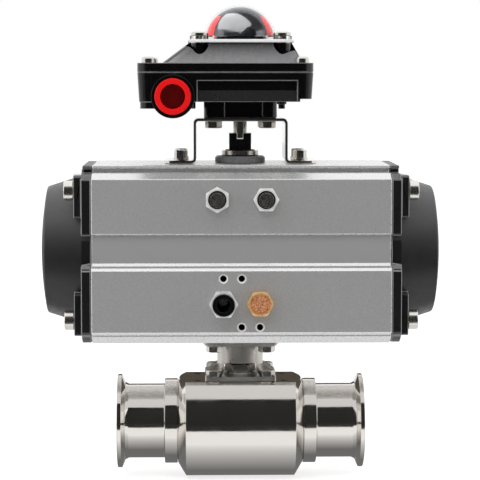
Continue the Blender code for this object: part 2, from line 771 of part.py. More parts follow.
def valve_bolts():
    """The bracket's screws into the valve, and the bolts that hold the actuator from below."""
    length = FLANGE_THICK - SINK + M6_DEPTH - GAP
    screw = hex_bolt("bracket_screw_1", M6_RADIUS, M6_FLATS, M6_HEAD, length, BOLT)
    places = corners(BOLT_SQUARE_HALF, BOLT_SQUARE_HALF)
    seat_z = FLANGE_TOP - SINK + GAP
    screw.location = (*places[0], seat_z)
    for number, place in enumerate(places[1:], 2):
        copy_of(screw, f"bracket_screw_{number}", (*place, seat_z))
    length = TOP_PLATE_THICK + 2 * GAP + M6_DEPTH
    bolt = hex_bolt("actuator_bolt_1", M6_RADIUS, M6_FLATS, M6_HEAD, length, BOLT)
    bolt.data.transform(Matrix.Rotation(math.pi, 4, "X"))
    seat_z = TOP_PLATE_BOTTOM - GAP
    bolt.location = (*places[0], seat_z)
    for number, place in enumerate(places[1:], 2):
        copy_of(bolt, f"actuator_bolt_{number}", (*place, seat_z))


def housing_outline(inset=0.0):
    """The extrusion's section as (y, z), the same at the front and the back."""
    top = ACTUATOR_TOP
    bottom = ACTUATOR_BOTTOM
    shoulder = top - SHOULDER_DROP - inset
    waist = RAIL_HALF - RAIL_GROOVE
    back = [
        (RAIL_HALF, top - inset, EDGE_ROUND),
        (RAIL_HALF, top - RAIL_HEIGHT, 0),
        (waist, top - RAIL_HEIGHT - RAIL_UNDERCUT, 0),
        (waist, shoulder, 0),
        (UPPER_PAD_HALF - SHOULDER_SLOPE, shoulder, EDGE_ROUND),
        (UPPER_PAD_HALF, top - UPPER_PAD_DROP - inset, EDGE_ROUND),
        (UPPER_PAD_HALF, bottom + BAND_TOP, BAND_STEP),
        (BAND_HALF, bottom + BAND_TOP - BAND_STEP, 0),
        (BAND_HALF, bottom + BAND_BOTTOM, 0),
        (LOWER_PAD_HALF, bottom + LOWER_PAD_TOP, EDGE_ROUND),
        (LOWER_PAD_HALF, bottom + LOWER_PAD_BOTTOM, EDGE_ROUND),
        (BAND_HALF, bottom + SKIRT_HEIGHT, EDGE_ROUND),
        (BAND_HALF - SKIRT_IN, bottom + inset, EDGE_ROUND),
    ]
    back = [(y - inset, z, radius) for y, z, radius in back]
    front = [(-y, z, radius) for y, z, radius in reversed(back)]
    return filleted(back + front, 1)


def actuator_body():
    """The extruded body, bored for the pistons and drilled for the pinion, ports and screws."""
    body = prism("actuator_body", housing_outline(), -BODY_END, BODY_END, "X", ALUMINIUM)
    over = BODY_END + PAST
    cut(body, prism("bore", circle(CYLINDER_RADIUS, FINE, 0, BORE_Z), -over, over, "X", ALUMINIUM))
    lower = LOWER_JOURNAL_RADIUS + BEARING_WALL + 2 * GAP
    upper = UPPER_JOURNAL_RADIUS + BEARING_WALL + 2 * GAP
    low_hole = prism("low_hole", circle(lower, FINE), ACTUATOR_BOTTOM - PAST, BORE_Z, "Z", ALUMINIUM)
    high_hole = prism("high_hole", circle(upper, FINE), BORE_Z, ACTUATOR_TOP + PAST, "Z", ALUMINIUM)
    cut(body, low_hole, high_hole)
    finish = ALUMINIUM
    stops = [(-STOP_X, STOP_Z), (STOP_X, STOP_Z)]
    deep = -CYLINDER_RADIUS / 3
    cut(body, rods("stops", stops, STOP_RADIUS + GAP, -LOWER_PAD_HALF, deep, "Y", finish, MIDDLE))
    front = -LOWER_PAD_HALF - PAST
    ports = [(-PORT_SPACING / 2, PORT_Z), (PORT_SPACING / 2, PORT_Z)]
    port_floor = PORT_DEPTH - LOWER_PAD_HALF
    cut(body, rods("ports", ports, PORT_RADIUS, front, port_floor, "Y", finish, MIDDLE))
    cut(body, rods("pilots", pilot_places(), PILOT_RADIUS, front, port_floor, "Y", finish))
    places = corners(BOLT_SQUARE_HALF, BOLT_SQUARE_HALF)
    tap_top = ACTUATOR_BOTTOM + M6_DEPTH + GAP * 2
    cut(body, rods("taps", places, M6_RADIUS + GAP, ACTUATOR_BOTTOM - PAST, tap_top, "Z", finish))
    feet = corners(NAMUR_X, NAMUR_Y)
    foot_floor = ACTUATOR_TOP - FOOT_SCREW_DEPTH
    cut(body, rods("feet", feet, FOOT_SCREW_RADIUS + GAP, foot_floor, ACTUATOR_TOP + PAST, "Z", finish))
    hole = CAP_SCREW_RADIUS + GAP
    for start, end in ((-over, -BODY_END + CAP_SCREW_DEPTH), (BODY_END - CAP_SCREW_DEPTH, over)):
        cut(body, rods("cap_taps", cap_screw_places(), hole, start, end, "X", finish))
    return body


def pilot_places():
    """The four tapped holes round the ports, as (x, z)."""
    half = PORT_SPACING / 2
    places = ((-half, 1), (0, 1), (0, -1), (half, -1))
    return [(x, PORT_Z + side * PILOT_RISE) for x, side in places]


def cap_screw_places():
    """The end caps' four screws, as (y, z)."""
    return [(y, BORE_Z + z) for y, z in corners(CAP_SCREW_Y, CAP_SCREW_Z)]


def crown(end):
    """The end cap's slightly domed end face, from its edge to its middle."""
    points = []
    for step in range(CROWN_STEPS):
        share = 1 - step / CROWN_STEPS
        points.append((end - CAP_CROWN * share**2, CAP_EDGE_RADIUS * share))
    return [*points, (end, 0)]


def end_cap():
    """The right-hand end cap: a flange like the body's section, corner bosses and a hollow cone."""
    face = BODY_END + GAP
    flange = face + CAP_FLANGE
    boss = flange + CAP_BOSS
    end = BODY_END + CAP_LENGTH
    cap = prism("right_end_cap", housing_outline(CAP_INSET), face, flange, "X", BLACK)
    band = (BORE_Z - CAP_NOTCH_LOW, BORE_Z + CAP_NOTCH_HIGH)
    for side in (-1, 1):
        deep = side * (BAND_HALF - CAP_NOTCH)
        outer = side * (BAND_HALF + PAST)
        outline = rectangle(min(deep, outer), max(deep, outer), *band)
        cut(cap, prism("notch", outline, face - PAST, flange + PAST, "X", BLACK))
    for y, z in corners(CAP_SCREW_Y, CAP_SCREW_Z):
        side = math.copysign(1, y)
        inner = CAP_SCREW_Y - CAP_SCREW_HEAD_RADIUS - CAP_BOSS_MARGIN
        ends = sorted((side * inner, side * (UPPER_PAD_HALF - CAP_INSET - SINK)))
        low = BORE_Z + z - CAP_BOSS_HEIGHT / 2 - math.copysign(CAP_BOSS_SHIFT, z)
        outline = rectangle(*ends, low, low + CAP_BOSS_HEIGHT, CAP_BOSS_MARGIN, 1)
        join(cap, prism("boss", outline, flange - SINK, boss, "X", BLACK))
    cone = [
        (face, 0),
        (face, CAP_DOME_RADIUS - SINK),
        (flange, CAP_DOME_RADIUS),
        *crown(end),
    ]
    join(cap, turned("cone", cone, "X", FINE, BLACK, centre=(0, BORE_Z)))
    hollow = [
        (face - PAST, 0),
        (face - PAST, CAP_EDGE_RADIUS - CAP_WALL + CAP_DRAFT),
        (end - CAP_WALL, CAP_EDGE_RADIUS - CAP_WALL),
        (end - CAP_WALL, 0),
    ]
    cut(cap, turned("hollow", hollow, "X", FINE, BLACK, centre=(0, BORE_Z)))
    hole = CAP_SCREW_RADIUS + GAP
    return cut(cap, rods("holes", cap_screw_places(), hole, face - PAST, boss + PAST, "X", BLACK))


def socket_screw():
    """A cap screw along X, its head out to the right and its shank to the left of 0."""
    head = CAP_SCREW_HEAD
    screw = prism("end_cap_screw_1", circle(CAP_SCREW_HEAD_RADIUS, SMALL + 2), 0, head, "X", BOLT)
    length = CAP_FLANGE + CAP_BOSS + CAP_SCREW_DEPTH - 2 * GAP
    join(screw, prism("shank", circle(CAP_SCREW_RADIUS, THREAD), -length, SINK, "X", BOLT))
    key_floor = head - CAP_SCREW_KEY_DEPTH
    return cut(screw, prism("key", hexagon(CAP_SCREW_KEY), key_floor, head + PAST, "X", BOLT))


def end_cap_screws():
    """Four screws in each end cap."""
    seat_x = BODY_END + CAP_FLANGE + CAP_BOSS + 2 * GAP
    screw = socket_screw()
    places = cap_screw_places()
    screw.location = (seat_x, *places[0])
    for number, place in enumerate(places[1:], 2):
        copy_of(screw, f"end_cap_screw_{number}", (seat_x, *place))
    for number, place in enumerate(places, 5):
        copy_of(screw, f"end_cap_screw_{number}", (-seat_x, *place), math.pi)


def tooth_flank():
    """Points (radius, half angle) up one side of a pinion tooth, its flank an involute."""
    base = PITCH_RADIUS * math.cos(PRESSURE_ANGLE)
    half_at_pitch = (math.pi / 2 * MODULE - BACKLASH) / 2 / PITCH_RADIUS
    turn_at_pitch = math.tan(PRESSURE_ANGLE) - PRESSURE_ANGLE
    flank = [(PITCH_RADIUS - DEDENDUM, half_at_pitch + turn_at_pitch)]
    tip = PITCH_RADIUS + ADDENDUM
    for step in range(3):
        radius = base + (tip - base) * step / 2
        pressure = math.acos(min(1.0, base / radius))
        turn = math.tan(pressure) - pressure
        flank.append((radius, half_at_pitch + turn_at_pitch - turn))
    return flank


def gear_outline():
    """The pinion's outline, with a tooth on each of the four axes."""
    flank = tooth_flank()
    points = []
    for tooth in range(TEETH):
        middle = 2 * math.pi * tooth / TEETH
        side = [(radius, middle - half) for radius, half in flank]
        side += [(radius, middle + half) for radius, half in reversed(flank)]
        points += [(radius * math.cos(turn), radius * math.sin(turn)) for radius, turn in side]
    return points


def cam_outline():
    """The stop cam: a hub with one lobe along +X and one along +Y at rest."""
    half = CAM_LOBE_HALF
    reach = CAM_LOBE_LENGTH
    outline = [
        (-half, -half, 2 * CAM_ROUND),
        (reach, -half, CAM_ROUND),
        (reach, half, CAM_ROUND),
        (half, half, 0),
        (half, reach, CAM_ROUND),
        (-half, reach, CAM_ROUND),
    ]
    return filleted(outline, 2)


def pinion():
    """The pinion: journals, gear, stop cam, the stem's socket and the black drive square on top."""
    bottom = ACTUATOR_BOTTOM + 2 * GAP
    top = ACTUATOR_TOP + PINION_TOP
    ring_low = ACTUATOR_TOP + THRUST_RING_HEIGHT + 2 * GAP
    ring_high = ring_low + RETAINING_RING_HEIGHT + 2 * GAP
    cam_low = STOP_Z - CAM_THICK / 2
    cam_high = cam_low + CAM_THICK
    journal_end = bottom + BEARING_LENGTH + JOURNAL_PAST
    shaft = [
        (bottom, 0),
        (bottom, LOWER_JOURNAL_RADIUS),
        (journal_end, LOWER_JOURNAL_RADIUS),
        (journal_end + JOURNAL_CONE, PINION_RADIUS),
        (cam_high + SINK, PINION_RADIUS),
        (cam_high + SINK, UPPER_JOURNAL_RADIUS),
        (ring_low, UPPER_JOURNAL_RADIUS),
        (ring_low, UPPER_JOURNAL_RADIUS - RETAINING_GROOVE),
        (ring_high, UPPER_JOURNAL_RADIUS - RETAINING_GROOVE),
        (ring_high, 0),
    ]
    made = turned("pinion", shaft, "Z", MIDDLE, PINION_BLACK)
    gear = prism("gear", gear_outline(), BORE_Z - GEAR_HALF, BORE_Z + GEAR_HALF, "Z", PINION_BLACK)
    cam = prism("cam", cam_outline(), cam_low, cam_high, "Z", PINION_BLACK)
    half = PINION_SQUARE / 2
    head = rectangle(-half, half, -half, half, PINION_CORNER, 1)
    join(made, gear, cam, prism("head", head, ring_high - SINK, top, "Z", PINION_BLACK))
    socket_half = STEM_SQUARE / 2 + GAP
    socket = rectangle(-socket_half, socket_half, -socket_half, socket_half)
    socket_top = ACTUATOR_BOTTOM + SOCKET_DEPTH
    cut(made, prism("socket", socket, bottom - PAST, socket_top, "Z", PINION_BLACK))
    slot_half = DRIVE_SLOT / 2
    slot = rectangle(-slot_half, slot_half, -half - PAST, half + PAST)
    return cut(made, prism("slot", slot, top - DRIVE_SLOT_DEPTH, top + PAST, "Z", PINION_BLACK))


def bearing(name, low, high, journal):
    """A plain bush round a journal of the pinion."""
    inner = journal + GAP
    outer = inner + BEARING_WALL
    profile = [(low, inner), (low, outer), (high, outer), (high, inner)]
    return turned(name, profile, "Z", FINE, SEAT_WHITE, ring=True)


def bearings():
    """The pinion's lower and upper bush."""
    low = ACTUATOR_BOTTOM + 2 * GAP
    bearing("lower_bearing", low, low + BEARING_LENGTH, LOWER_JOURNAL_RADIUS)
    high = ACTUATOR_TOP - GAP
    bearing("upper_bearing", high - BEARING_LENGTH, high, UPPER_JOURNAL_RADIUS)


def thrust_ring():
    """The grey ring between the body and the retaining ring."""
    low = ACTUATOR_TOP + GAP
    high = low + THRUST_RING_HEIGHT
    inner = UPPER_JOURNAL_RADIUS + GAP
    profile = [
        (low, inner),
        (low, THRUST_RING_RADIUS),
        (high - THRUST_RING_CHAMFER, THRUST_RING_RADIUS),
        (high, THRUST_RING_RADIUS - THRUST_RING_CHAMFER),
        (high, inner),
    ]
    return turned("thrust_ring", profile, "Z", ROUND, GREY, ring=True)


def retaining_ring():
    """The snap ring in the pinion's groove, open at the front."""
    low = ACTUATOR_TOP + THRUST_RING_HEIGHT + 3 * GAP
    high = low + RETAINING_RING_HEIGHT - GAP
    inner = UPPER_JOURNAL_RADIUS - RETAINING_GROOVE + GAP
    profile = [
        (low, inner),
        (low, RETAINING_RING_RADIUS),
        (high, RETAINING_RING_RADIUS),
        (high, inner),
    ]
    ring = turned("retaining_ring", profile, "Z", ROUND, BOLT, ring=True)
    half = RETAINING_MOUTH_HALF
    mouth = rectangle(-half, half, -RETAINING_RING_RADIUS - PAST, 0)
    return cut(ring, prism("mouth", mouth, low - PAST, high + PAST, "Z", BOLT))


def rack_outline():
    """The right-hand piston's rack seen from above, its teeth towards +Y and a gap at X = 0."""
    pitch = math.pi * MODULE
    line = -PITCH_RADIUS
    tip = line + ADDENDUM
    root = line - DEDENDUM
    half = pitch / 4 - BACKLASH / 2
    lean = math.tan(PRESSURE_ANGLE)
    at_tip = half - (tip - line) * lean
    at_root = half + (line - root) * lean
    right = PISTON_INNER + SINK
    first = -(RACK_TEETH - 1.5) * pitch
    left = first - pitch / 2
    outline = [(right, -RACK_BACK), (right, root)]
    for tooth in reversed(range(RACK_TEETH)):
        middle = first + tooth * pitch
        outline += [(middle + at_root, root), (middle + at_tip, tip)]
        outline += [(middle - at_tip, tip), (middle - at_root, root)]
    return outline + [(left, root), (left, -RACK_BACK)]


def piston():
    """The right-hand piston, about its slide axis: a disc with a seal groove, and its rack."""
    inner = PISTON_INNER
    outer = inner + PISTON_THICK
    radius = CYLINDER_RADIUS - GAP - SEAL_PROUD
    groove = inner + (PISTON_THICK - SEAL_WIDTH) / 2 - GAP
    profile = [
        (inner, 0),
        (inner, radius),
        (groove, radius),
        (groove, radius - SEAL_DEPTH),
        (groove + SEAL_WIDTH + 2 * GAP, radius - SEAL_DEPTH),
        (groove + SEAL_WIDTH + 2 * GAP, radius),
        (outer, radius),
        (outer, PISTON_CUP_RADIUS),
        (outer - PISTON_CUP_DEPTH, PISTON_CUP_RADIUS),
        (outer - PISTON_CUP_DEPTH, 0),
    ]
    made = turned("right_piston", profile, "X", FINE, BARE)
    return join(made, prism("rack", rack_outline(), -GEAR_HALF, GEAR_HALF, "Z", BARE))


def piston_seal():
    """The right-hand piston's seal in its groove, about the slide axis."""
    radius = CYLINDER_RADIUS - GAP
    low = PISTON_INNER + (PISTON_THICK - SEAL_WIDTH) / 2
    inner = radius - SEAL_DEPTH + 2 * GAP
    high = low + SEAL_WIDTH
    profile = [(low, inner), (low, radius), (high, radius), (high, inner)]
    return turned("right_piston_seal", profile, "X", FINE, RUBBER, ring=True)


def spring(name, side):
    """A return spring between a piston and its end cap."""
    inner = PISTON_INNER + PISTON_THICK - PISTON_CUP_DEPTH + GAP + SPRING_WIRE_RADIUS
    outer = BODY_END + CAP_LENGTH - CAP_WALL - GAP - SPRING_WIRE_RADIUS
    line = bpy.data.curves.new(name, "CURVE")
    line.dimensions = "3D"
    line.bevel_depth = SPRING_WIRE_RADIUS
    line.bevel_resolution = 1
    line.use_fill_caps = True
    count = SPRING_TURNS * SMALL + 1
    path = line.splines.new("POLY")
    path.points.add(count - 1)
    for index, point in enumerate(path.points):
        turn = 2 * math.pi * index / SMALL
        along = inner + (outer - inner) * index / (count - 1)
        place = (side * along, SPRING_RADIUS * math.cos(turn), SPRING_RADIUS * math.sin(turn))
        point.co = (*place, 1)
    line.materials.append(SPRING)
    made = bpy.data.objects.new(name, line)
    made.location = (0, 0, BORE_Z)
    bpy.context.scene.collection.objects.link(made)
    return made


def travel_stops():
    """Two stop screws whose tips meet the cam, each with its lock nut."""
    tip = -CAM_LOBE_HALF - GAP
    face = -UPPER_PAD_HALF
    end = face - STOP_NUT_HEIGHT - STOP_END
    profile = [
        (end, 0),
        (end, STOP_RADIUS - STOP_CHAMFER),
        (end + STOP_CHAMFER, STOP_RADIUS),
        (tip - STOP_CHAMFER, STOP_RADIUS),
        (tip, STOP_RADIUS - STOP_CHAMFER),
        (tip, 0),
    ]
    for number, side in ((1, -1), (2, 1)):
        place = (side * STOP_X, 0, STOP_Z)
        screw = turned(f"stop_screw_{number}", profile, "Y", SMALL, BOLT)
        screw.location = place
        corner_up = number == 1
        nut = hex_head(f"stop_nut_{number}", STOP_NUT_FLATS, STOP_NUT_HEIGHT, "Y", BOLT, corner_up)
        nut.data.transform(Matrix.Rotation(math.pi, 4, "Z"))
        nut.data.transform(Matrix.Translation((0, face - GAP, 0)))
        hole = circle(STOP_RADIUS + GAP, SMALL)
        cut(nut, prism("hole", hole, end, face + PAST, "Y", BOLT))
        nut.location = place


def air_fitting():
    """The push-in fitting in the left port: a threaded end, a hexagon and the tube's socket."""
    face = -LOWER_PAD_HALF - GAP
    fitting = hex_head("air_fitting", HEX_FLATS, FITTING_LENGTH, "Y", NICKEL)
    fitting.data.transform(Matrix.Rotation(math.pi, 4, "Z"))
    thread = circle(PORT_RADIUS - GAP, MIDDLE)
    join(fitting, prism("thread", thread, -SINK, PORT_DEPTH - 2 * GAP, "Y", NICKEL))
    socket = [
        (-FITTING_LENGTH - PAST, 0),
        (-FITTING_LENGTH - PAST, COLLET_SLEEVE_RADIUS + GAP),
        (TUBE_SOCKET_DEPTH, COLLET_SLEEVE_RADIUS + GAP),
        (TUBE_SOCKET_DEPTH, AIR_WAY_RADIUS),
        (PORT_DEPTH + PAST, AIR_WAY_RADIUS),
        (PORT_DEPTH + PAST, 0),
    ]
    cut(fitting, turned("socket", socket, "Y", MIDDLE, NICKEL))
    place = (-PORT_SPACING / 2, face, PORT_Z)
    fitting.location = place
    end = -FITTING_LENGTH - COLLET_TRAVEL - GAP
    profile = [
        (end, TUBE_SOCKET_RADIUS),
        (end - COLLET_FLANGE, TUBE_SOCKET_RADIUS + COLLET_CHAMFER),
        (end - COLLET_FLANGE, COLLET_RADIUS - COLLET_CHAMFER),
        (end - COLLET_FLANGE + COLLET_CHAMFER, COLLET_RADIUS),
        (end, COLLET_RADIUS),
        (end, COLLET_SLEEVE_RADIUS),
        (end + COLLET_LENGTH, COLLET_SLEEVE_RADIUS),
        (end + COLLET_LENGTH, TUBE_SOCKET_RADIUS),
    ]
    collet = turned("release_collet", profile, "Y", MIDDLE, BLACK, ring=True)
    collet.location = place


def silencer():
    """The exhaust silencer in the right port: a threaded end, a hexagon and a sintered disc."""
    made = hex_head("silencer", SILENCER_FLATS, SILENCER_HEX, "Y", BRASS)
    made.data.transform(Matrix.Rotation(math.pi, 4, "Z"))
    thread = circle(PORT_RADIUS - GAP, MIDDLE)
    join(made, prism("thread", thread, -SINK, PORT_DEPTH - 2 * GAP, "Y", BRASS))
    low = -SILENCER_HEX
    disc = circle(SILENCER_DISC_RADIUS, MIDDLE)
    join(made, prism("disc", disc, low - SILENCER_DISC, low + SINK, "Y", BRASS))
    made.location = (PORT_SPACING / 2, -LOWER_PAD_HALF - GAP, PORT_Z)
    return made


def switch_bracket():
    """The folded bracket: two feet, two legs and a top, from one plate."""
    low = BRACKET_BOTTOM
    high = BRACKET_TOP
    leg = LEG_OUTER_X
    inner = leg - PLATE
    bend = BEND_RADIUS
    outer_bend = bend - PLATE
    right = [
        (leg, high, bend),
        (leg, low + PLATE, outer_bend),
        (FOOT_END_X, low + PLATE, 0),
        (FOOT_END_X, low, 0),
        (inner, low, bend),
        (inner, high - PLATE, outer_bend),
    ]
    left = [(-x, z, radius) for x, z, radius in reversed(right)]
    outline = filleted(right + left, 2)
    half = BRACKET_HALF_Y
    bracket = prism("switch_bracket", outline, -half, half, "Y", STEEL)
    plan = rectangle(-FOOT_END_X, FOOT_END_X, -half, half, BRACKET_CORNER)
    keep(bracket, prism("plan", plan, low - PAST, high + PAST, "Z", STEEL))
    foot = FOOT_SCREW_RADIUS + GAP
    feet = corners(NAMUR_X, NAMUR_Y)
    cut(bracket, rods("feet", feet, foot, low - PAST, low + PLATE + PAST, "Z", STEEL))
    places = corners(BOX_SCREW_X, BOX_SCREW_Y)
    hole = BOX_SCREW_RADIUS + GAP
    cut(bracket, rods("places", places, hole, high - PLATE - PAST, high + PAST, "Z", STEEL))
    middle = circle(BRACKET_HOLE_RADIUS, MIDDLE)
    return cut(bracket, prism("middle", middle, high - PLATE - PAST, high + PAST, "Z", STEEL))


def foot_bolts():
    """Four bolts with washers that hold the bracket's feet on the actuator."""
    length = PLATE + FOOT_SCREW_DEPTH
    bolt = hex_bolt(
        "foot_bolt_1",
        FOOT_SCREW_RADIUS,
        FOOT_SCREW_FLATS,
        FOOT_SCREW_HEAD,
        length,
        BOLT,
        FOOT_WASHER,
        FOOT_WASHER_RADIUS,
    )
    seat_z = BRACKET_BOTTOM + PLATE + GAP
    places = corners(NAMUR_X, NAMUR_Y)
    bolt.location = (*places[0], seat_z)
    for number, place in enumerate(places[1:], 2):
        copy_of(bolt, f"foot_bolt_{number}", (*place, seat_z))


def box_outline(inset, radius=BOX_CORNER):
    """The switch box's plan, drawn in by an inset."""
    left = BOX_LEFT + inset
    right = BOX_RIGHT - inset
    half = BOX_HALF_Y - inset
    return rectangle(left, right, -half, half, radius - inset)


def box_base():
    """The lower shell: a drafted tub with a cable boss, a mounting boss and its screws."""
    levels = [(BOX_BOTTOM, box_outline(BOX_DRAFT)), (SEAM_Z, box_outline(0))]
    base = lofted("box_base", levels, "Z", BLACK)
    low = BOX_BOTTOM - BASE_STEP
    inset = BOX_DRAFT + STEP_INSET
    half = BOX_HALF_Y - inset
    left_part = rectangle(BOX_LEFT + inset, LEFT_PART_RIGHT, -half, half, BOX_CORNER - inset)
    join(base, prism("left_part", left_part, low, BOX_BOTTOM + SINK, "Z", BLACK))
    boss = circle(CABLE_BOSS_RADIUS, ROUND, CABLE_X, CABLE_Z)
    join(base, prism("cable_boss", boss, CABLE_BOSS_FACE, BOX_FRONT + CABLE_BOSS_DEPTH, "Y", BLACK))
    half_x = BOX_MOUNT_HALF_X
    half_y = BOX_MOUNT_HALF_Y
    mount = rectangle(-half_x, half_x, -half_y, half_y, BOX_MOUNT_CORNER)
    join(base, prism("mount", mount, BOX_MOUNT_BOTTOM, BOX_BOTTOM + SINK, "Z", BLACK))
    deep = BOX_FRONT + PANEL_DEPTH
    panel_low = BOX_BOTTOM - PAST
    front = BOX_FRONT - PAST
    section = [
        (front, panel_low),
        (BOX_FRONT + PANEL_LIP, panel_low),
        (deep, BOX_BOTTOM + PANEL_SLOPE),
        (deep, BOX_BOTTOM + PANEL_HEIGHT),
        (front, BOX_BOTTOM + PANEL_HEIGHT),
    ]
    cut(base, prism("panel", section, PANEL_LEFT, PANEL_RIGHT, "X", BLACK))
    over = BOX_HALF_Y + PAST
    step = rectangle(PANEL_RIGHT + PANEL_LIP, BOX_RIGHT + PAST, -over, over)
    cut(base, prism("right_step", step, panel_low, BOX_BOTTOM + RIGHT_STEP, "Z", BLACK))
    cavity = box_outline(BOX_WALL + PANEL_DEPTH, BOX_CORNER + PANEL_DEPTH)
    floor = BOX_BOTTOM + BOX_WALL
    cut(base, prism("cavity", cavity, floor, SEAM_Z + PAST, "Z", BLACK))
    cable = circle(PLUG_THREAD_RADIUS + GAP, ROUND, CABLE_X, CABLE_Z)
    cut(base, prism("cable_hole", cable, front, BOX_FRONT + PLUG_LENGTH + PAST, "Y", BLACK))
    shaft_hole = circle(SWITCH_SHAFT_RADIUS + GAP, MIDDLE)
    cut(base, prism("shaft_hole", shaft_hole, BOX_MOUNT_BOTTOM - PAST, floor + PAST, "Z", BLACK))
    seat_z = BRACKET_TOP - PLATE - GAP
    length = PLATE + 2 * GAP + SINK
    for place in corners(BOX_SCREW_X, BOX_SCREW_Y):
        screw = hex_head("screw", M6_FLATS, BOX_SCREW_HEAD, "Z", BLACK)
        join(screw, prism("shank", circle(BOX_SCREW_RADIUS, THREAD), -length, SINK, "Z", BLACK))
        screw.data.transform(Matrix.Translation((*place, seat_z)) @ Matrix.Rotation(math.pi, 4, "X"))
        join(base, screw)
    return base


def lid_screw_places():
    """The lid's four corner screws."""
    inset = LID_SCREW_INSET
    half = BOX_HALF_Y - inset
    left = BOX_LEFT + inset
    right = BOX_RIGHT - inset
    return [(left, -half), (right, -half), (right, half), (left, half)]


def box_lid():
    """The upper shell: a flange and a low pyramid, with the pillars and screws of the dome."""
    lid = prism("box_lid", box_outline(0), LID_BOTTOM, LID_SHELF, "Z", BLACK)
    foot = rectangle(LID_FOOT_LEFT, LID_FOOT_RIGHT, -LID_FOOT_HALF_Y, LID_FOOT_HALF_Y, DOME_CORNER)
    head = rectangle(-DOME_HALF, DOME_HALF, -DOME_HALF, DOME_HALF, DOME_CORNER)
    levels = [(LID_SHELF - SINK, foot), (LID_SHELF, foot), (LID_TOP, head)]
    join(lid, lofted("pyramid", levels, "Z", BLACK))
    places = corners(DOME_SCREW, DOME_SCREW)
    pocket_low = LID_TOP - DOME_POCKET_DEPTH
    pocket = DOME_POCKET_RADIUS
    cut(lid, rods("pockets", places, pocket, pocket_low, LID_TOP + PAST, "Z", BLACK, MIDDLE))
    wall = BOX_WALL
    inner = DOME_HALF - wall
    left = LID_FOOT_LEFT + wall
    right = LID_FOOT_RIGHT - wall
    half = LID_FOOT_HALF_Y - wall
    low = rectangle(left, right, -half, half, LID_HOLLOW_CORNER)
    high = rectangle(-inner, inner, -inner, inner, LID_HOLLOW_CORNER)
    ceiling = pocket_low - wall
    levels = [(LID_BOTTOM - PAST, low), (LID_BOTTOM + wall, low), (ceiling, high)]
    cut(lid, lofted("hollow", levels, "Z", BLACK))
    shaft_hole = circle(SWITCH_SHAFT_RADIUS + GAP, MIDDLE)
    cut(lid, prism("shaft_hole", shaft_hole, ceiling - PAST, LID_TOP + PAST, "Z", BLACK))
    screw_top = DOME_BOTTOM + DOME_FLANGE + GAP
    for place in places:
        profile = [
            (pocket_low - SINK, 0),
            (pocket_low - SINK, DOME_PILLAR_RADIUS),
            (LID_TOP, DOME_PILLAR_RADIUS),
            (LID_TOP, DOME_SCREW_SHANK),
            (screw_top, DOME_SCREW_SHANK),
            (screw_top, DOME_SCREW_RADIUS),
            (screw_top + DOME_SCREW_HEAD, DOME_SCREW_RADIUS),
            (screw_top + DOME_SCREW_HEAD, 0),
        ]
        join(lid, turned("pillar", profile, "Z", SMALL, BLACK, centre=place))
    for place in lid_screw_places():
        screw = circle(LID_SCREW_RADIUS, SMALL, *place)
        join(lid, prism("screw", screw, LID_SHELF - SINK, LID_SHELF + LID_SCREW_HEIGHT, "Z", BLACK))
    return lid


def arc(radius, centre, start):
    """Points (height, radius) from a start angle up to the top of a sphere."""
    points = []
    for step in range(DOME_STEPS):
        turn = start + (math.pi / 2 - start) * step / DOME_STEPS
        points.append((centre + radius * math.sin(turn), radius * math.cos(turn)))
    return [*points, (centre + radius, 0)]


def dome():
    """The clear dome and its square flange."""
    centre = DOME_BOTTOM
    outer = arc(DOME_RADIUS, centre, DOME_FOOT_ANGLE)
    inner = arc(DOME_RADIUS - DOME_WALL, centre, 0.0)
    shell = turned("dome", outer[::-1] + inner, "Z", ROUND, CLEAR)
    plan = rectangle(-DOME_HALF, DOME_HALF, -DOME_HALF, DOME_HALF, DOME_CORNER)
    flange = prism("flange", plan, DOME_BOTTOM, DOME_BOTTOM + DOME_FLANGE, "Z", CLEAR)
    hollow = circle(DOME_RADIUS - DOME_WALL / 2, ROUND)
    top = DOME_BOTTOM + DOME_FLANGE + PAST
    cut(flange, prism("hollow", hollow, DOME_BOTTOM - PAST, top, "Z", CLEAR))
    join(shell, flange)
    places = corners(DOME_SCREW, DOME_SCREW)
    hole = DOME_SCREW_SHANK + GAP
    holes = rods("holes", places, hole, DOME_BOTTOM - PAST, top, "Z", CLEAR, SMALL)
    return cut(shell, holes)


def indicator():
    """The rotor under the dome, on the shaft's end."""
    centre = DOME_BOTTOM + 2 * GAP
    radius = DOME_RADIUS - DOME_WALL - INDICATOR_GAP
    profile = [(centre, 0), *arc(radius, centre, 0.0)]
    made = turned("indicator", profile, "Z", ROUND, RED)
    hub = circle(SWITCH_SHAFT_RADIUS + GAP, MIDDLE)
    return cut(made, prism("hub", hub, centre - PAST, SHAFT_TOP + GAP, "Z", RED))


def switch_shaft():
    """The shaft from the pinion's slot up to the indicator."""
    low = ACTUATOR_TOP + PINION_TOP + GAP
    made = prism("switch_shaft", circle(SWITCH_SHAFT_RADIUS, MIDDLE), low, SHAFT_TOP, "Z", BOLT)
    half = DRIVE_SLOT / 2 - GAP
    blade = rectangle(-half, half, -DRIVE_BLADE_HALF, DRIVE_BLADE_HALF)
    blade_low = low - DRIVE_SLOT_DEPTH + GAP
    return join(made, prism("blade", blade, blade_low, low + SINK, "Z", BOLT))


def switch_cam():
    """The cam inside the box, with its two lobes."""
    low = BOX_BOTTOM + BOX_WALL + CAM_LIFT
    high = low + CAM_HEIGHT
    cam = prism("switch_cam", circle(CAM_RADIUS, ROUND), low, high, "Z", RED)
    reach = CAM_RADIUS + CAM_LOBE
    half = CAM_RADIUS / 3
    join(cam, prism("lobes", rectangle(-reach, reach, -half, half), low + SINK, high - SINK, "Z", RED))
    hole = circle(SWITCH_SHAFT_RADIUS + GAP, MIDDLE)
    return cut(cam, prism("hole", hole, low - PAST, high + PAST, "Z", RED))


